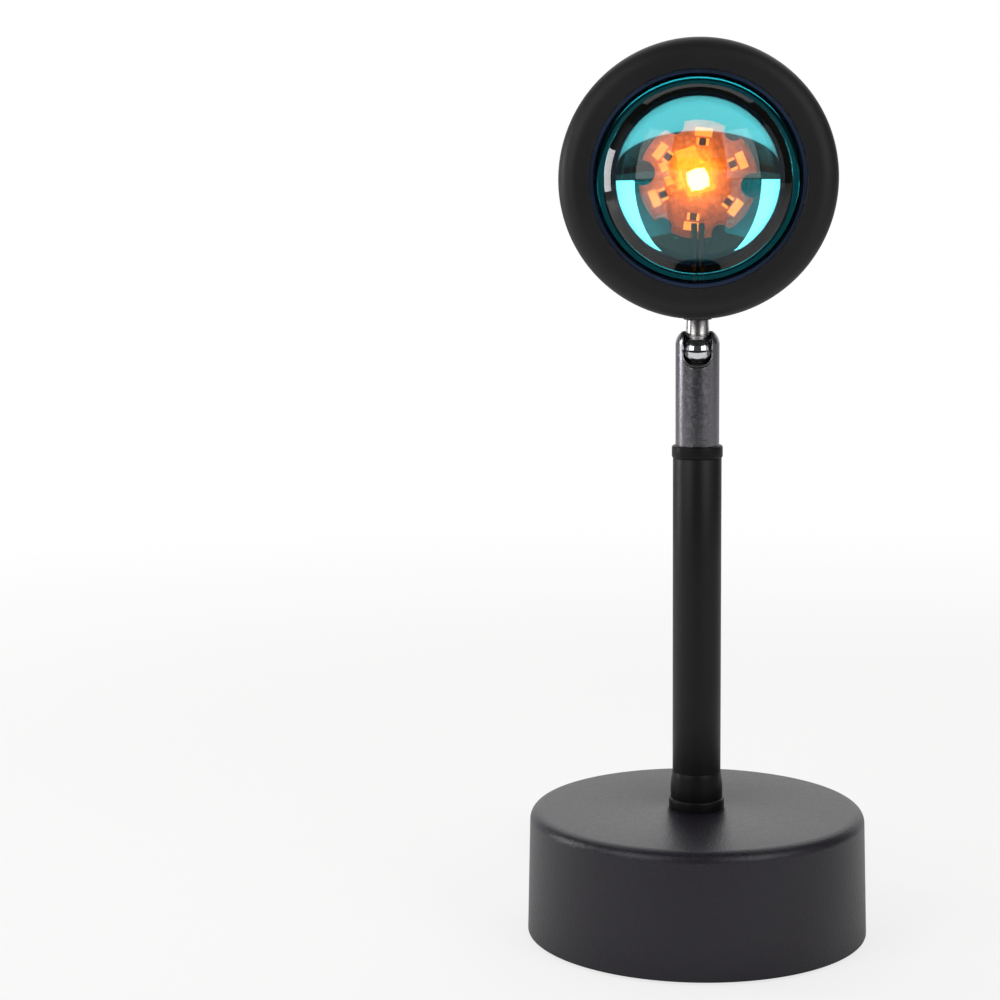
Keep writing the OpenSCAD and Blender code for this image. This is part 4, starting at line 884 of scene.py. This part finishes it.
# Brown-black ceramic, with a faint painted glow of the chip's light
ceramic = finish("resistor_ceramic_painted_glow", "4A2A18", 0.45, 0, {
    "Emission Color": linear("7A3A1A"), "Emission Strength": 0.35})
mottle(ceramic, "3E2214", "5A3420", 0.8, 0.4, 0.5)
RESISTOR_AT = 6.6           # from the board's middle
RESISTOR_W, RESISTOR_T = 1.2, 0.6
BODY_L, BODY_T = 1.2, 0.56
END_L, END_AT = 0.5, 0.85   # a tinned end's length, and its middle from the resistor's
LOBE_PAD_AT = 8.25
LOBE_PAD = (1.5, 3.0, 0.1)
LAND = (3.7, 3.7, 0.06)
TEST_PAD = (1.3, 1.6, 0.14)
parts = []
for k in range(6):
    a = BOARD_TURN + (k + 0.5) * pi / 3
    for along, length, thickness, material in (
            (-END_AT, END_L, RESISTOR_T, tin), (0, BODY_L, BODY_T, ceramic),
            (END_AT, END_L, RESISTOR_T, tin)):
        x = RESISTOR_AT * cos(a) - along * sin(a)
        y = RESISTOR_AT * sin(a) + along * cos(a)
        part = box_piece("resistor", (x, y, BOARD_FRONT + 0.3), (RESISTOR_W, length, thickness),
                         a, 0.05)
        give(part, material)
        parts.append(part)
    lobe_pad = box_piece("pad", (LOBE_PAD_AT * cos(a), LOBE_PAD_AT * sin(a), BOARD_FRONT + 0.03),
                         LOBE_PAD, a, 0.04)
    give(lobe_pad, tin)
    parts.append(lobe_pad)
# the copper land takes the chip body's painted yellow glow
land = box_piece("pad", (-1.8, 3.6, BOARD_FRONT + 0.02), LAND, CHIP_TURN, 0.02)
give(land, package_colour)
parts.append(land)
for x, y in ((-6.0, 2.2), (-5.1, -0.2)):
    test_pad = box_piece("pad", (x, y, BOARD_FRONT + 0.05), TEST_PAD,
                         BOARD_TURN + radians(30), 0.04)
    give(test_pad, tin)
    parts.append(test_pad)
board_parts = join("board_parts_dressed", parts)
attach(board_parts, "head")
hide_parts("board_parts")


# ---- Inside the head ----
# Black anodised mount plate with its post, which takes the chip's heat, silicone thermal pad, zinc
# plated screws, washer and nut, the lens's silicone gasket and the nylon ring that holds it. Thin
# black wires come up the pole and the ball to the board.

# Anodised aluminium: brown-black and dull
anodised = finish("black_anodised_aluminium", "1A1614", 0.5)
mottle(anodised, "161210", "1E1A18", 8, 0.45, 0.56)
grain(anodised, 0.4, 0.01)
dress_node("mount_plate", anodised)
# Filled silicone sheet: grey-blue and dull
thermal = finish("thermal_silicone", "7E8796", 0.7)
mottle(thermal, "767F8E", "8891A0", 1, 0.65, 0.78)
dress_node("thermal_pad", thermal)
# Zinc plate: bluish white metal with dull patches
zinc = finish("zinc_plated_steel", "BFC1C6", 0.3, 1)
mottle(zinc, "B0B4BC", "CBCBC8", 1.2, 0.24, 0.4)
for name in ("plate_screws", "stud_washer", "stud_nut", "pole_nipple", "nipple_washer",
             "nipple_nut", "cover_screws", "switch_screws"):
    dress_node(name, zinc)
# Moulded silicone rubber: navy, soft sheen
silicone_rubber = finish("silicone_rubber_navy", "1C3B63", 0.6)
mottle(silicone_rubber, "19365B", "20426D", 1.5, 0.55, 0.66)
dress_node("lens_gasket", silicone_rubber)
# Moulded nylon: black, half dull
nylon = finish("nylon_black", "18181A", 0.5)
mottle(nylon, "151517", "1D1D1F", 3, 0.45, 0.56)
dress_node("lens_retainer", nylon)
# Extruded PVC: black, satin
wire_pvc = finish("wire_pvc_black", "141214", 0.4)
mottle(wire_pvc, "100F10", "1A1819", 1, 0.35, 0.46)
for name in ("head_wires", "stud_wires", "pole_wires"):
    dress_node(name, wire_pvc)


# ---- Back of the head ----
# Pressed aluminium back cover, painted like the drum, with a raised middle and three countersunk
# black screws; it lies in the shell's rebate.
def dressed_copy(name, node, edge, segments=2):
    """Copy of a CAD node's mesh, merged, its flat faces joined up and its edges rounded."""
    piece = bpy.data.objects.new(name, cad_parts[node].data.copy())
    piece.data.name = name
    piece.data.materials.clear()
    bpy.context.scene.collection.objects.link(piece)
    pick(piece)
    bpy.ops.object.mode_set(mode="EDIT")
    bpy.ops.mesh.select_all(action="SELECT")
    bpy.ops.mesh.remove_doubles(threshold=1e-6)
    bpy.ops.mesh.dissolve_limited(angle_limit=radians(1))
    bpy.ops.object.mode_set(mode="OBJECT")
    finish_edges(piece, edge, segments)
    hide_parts(node)
    return piece


BACK_COVER_R, BACK_COVER_T = 30, 2
STEP_R = 17                 # its raised middle is flush with the drum's back
SCREW_CIRCLE_R = 28
RECESS_R, RECESS_FLOOR = 1.95, -18
cover_face = REBATE_Z - BACK_COVER_T
back_cover = turned("back_cover_dressed", [
    (0, REBATE_Z), (BACK_COVER_R, REBATE_Z), (BACK_COVER_R, cover_face), (STEP_R, cover_face),
    (STEP_R, HEAD_BACK), (0, HEAD_BACK)], steps=160, forward=True)
for turn in (90, 210, 330):
    recess = turned("recess", [
        (0, RECESS_FLOOR), (RECESS_R, RECESS_FLOOR), (RECESS_R, HEAD_BACK - 1), (0, HEAD_BACK - 1)],
        steps=32, forward=True)
    shift(recess, SCREW_CIRCLE_R * cos(radians(turn)), 0, SCREW_CIRCLE_R * sin(radians(turn)))
    cut_with(back_cover, recess)
finish_edges(back_cover, 0.12)
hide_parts("back_cover")
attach(back_cover, "head")
give(back_cover, head_paint)
back_screws = dressed_copy("back_screws_dressed", "back_screws", 0.06)
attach(back_screws, "head")
# Black oxide on steel: dark metal, oily sheen
black_oxide = finish("black_oxide_steel", "2A2A2D", 0.35, 1)
mottle(black_oxide, "232326", "343438", 0.8, 0.3, 0.42)
give(back_screws, black_oxide)
dress_node("board_screws", black_oxide)


# ---- Under the base ----
# Moulded ABS bottom cover with its screws, the foam pad that stands on the table, and inside them
# the cast iron weight.

# Moulded ABS, fine texture: dull black
cover_abs = finish("abs_plain_black", "1F1F20", 0.5)
mottle(cover_abs, "1B1B1C", "242425", 10, 0.45, 0.56)
grain(cover_abs, 0.3, 0.03)
dress_node("base_cover", cover_abs)
FOAM_CELL = 0.625
# EVA foam with open pits: black, no shine
foam = finish("eva_foam_black", "151515", 0.9)
tree, shader, at = shading(foam)
cells = add(tree, "ShaderNodeTexVoronoi", {"Scale": 1 / (FOAM_CELL * MM)}, {"Vector": at})
pits = add(tree, "ShaderNodeBump", {"Strength": 0.6, "Distance": 0.1 * MM}, {"Height": cells})
tree.links.new(pits.outputs["Normal"], shader.inputs["Normal"])
dress_node("base_pad", foam)
# Cast iron: grey, rough from the sand
iron = finish("cast_iron", "4B4A4C", 0.6, 1)
mottle(iron, "403F41", "5A585A", 5, 0.5, 0.7)
grain(iron, 0.8, 0.1)
dress_node("base_weight", iron)


# ---- Strain relief ----
# Soft moulded PVC sleeve, grooved so that it bends with the cord. It is pushed through the base's
# wall up to its flange.
relief = dressed_copy("strain_relief_dressed", "strain_relief", 0.12, 3)
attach(relief, "base")
# Soft moulded PVC: off-white, duller than the sheath
relief_pvc = finish("soft_pvc_offwhite", "D6D4CF", 0.55)
mottle(relief_pvc, "CFCDC8", "DCDAD6", 4, 0.5, 0.62)
grain(relief_pvc, 0.4, 0.02)
give(relief, relief_pvc)


# ---- Switch ----
# Push switch in the cord: two moulded ABS halves screwed together from below, a latching switch
# block inside and a glossy round button.

# Moulded ABS, fine texture: black, duller than the button
switch_abs = finish("abs_fine_black", "202022", 0.48)
mottle(switch_abs, "1C1C1E", "262628", 7, 0.42, 0.54)
grain(switch_abs, 0.3, 0.03)
for node in ("switch_base", "switch_top"):
    half_case = dressed_copy(node + "_dressed", node, 0.35, 4)
    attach(half_case, "base")
    give(half_case, switch_abs)
button = dressed_copy("switch_button_dressed", "switch_button", 0.15, 3)
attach(button, "button")
# Polished moulded ABS: black, glossy
button_abs = finish("abs_gloss_black", "29292B", 0.22)
mottle(button_abs, "262628", "2E2E30", 4, 0.18, 0.28)
give(button, button_abs)
# Moulded PBT: ivory, half dull
pbt = finish("pbt_ivory", "DEDACB", 0.5)
mottle(pbt, "D6D2C2", "E6E2D6", 4, 0.45, 0.56)
dress_node("switch_module", pbt)


# ---- Plug ----
# Power plug: a nickel plated sheet steel shell with an insulating tongue and four gilt contacts,
# in a moulded grip of the cord's own PVC.
plug_body = dressed_copy("plug_body_dressed", "plug_body", 0.5, 4)
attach(plug_body, "base")
give(plug_body, relief_pvc)
plug_shell = dressed_copy("plug_shell_dressed", "plug_shell", 0.1, 2)
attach(plug_shell, "base")
# Bright nickel on pressed sheet steel: sharp warm reflections
sheet_nickel = finish("nickel_plated_sheet", "C9C7C4", 0.22, 1)
mottle(sheet_nickel, "C0BEBB", "D2D0CE", 3, 0.17, 0.3)
give(plug_shell, sheet_nickel)
# Moulded PBT: white, half dull
tongue = finish("pbt_white", "E9E8E2", 0.45)
mottle(tongue, "E2E1DA", "F0EFEA", 3, 0.4, 0.5)
dress_node("plug_tongue", tongue)
# Gilt contacts: yellow and bright
gilt = finish("gilt_contacts", "E0BC62", 0.2, 1)
mottle(gilt, "D8B256", "E8C872", 1, 0.15, 0.27)
dress_node("plug_contacts", gilt)


# ---- Tie ----
# Flat black nylon band, closed round the coil's turns at one place, which keeps the spare cord in
# its round.
tie = dressed_copy("cord_tie_dressed", "cord_tie", 0.12, 2)
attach(tie, "base")
# Woven nylon band: black, with its threads along it
tie_nylon = finish("nylon_band_black", "1A1A1B", 0.5)
mottle(tie_nylon, "161617", "202021", 2, 0.44, 0.56)
grain(tie_nylon, 0.4, 0.05, (0.1, 1, 1))
give(tie, tie_nylon)


# ---- Update ----
# The lead runs from the base to the switch, and the rest from the switch through its coil to the
# plug. The view layer is brought up to date.
bpy.context.view_layer.update()
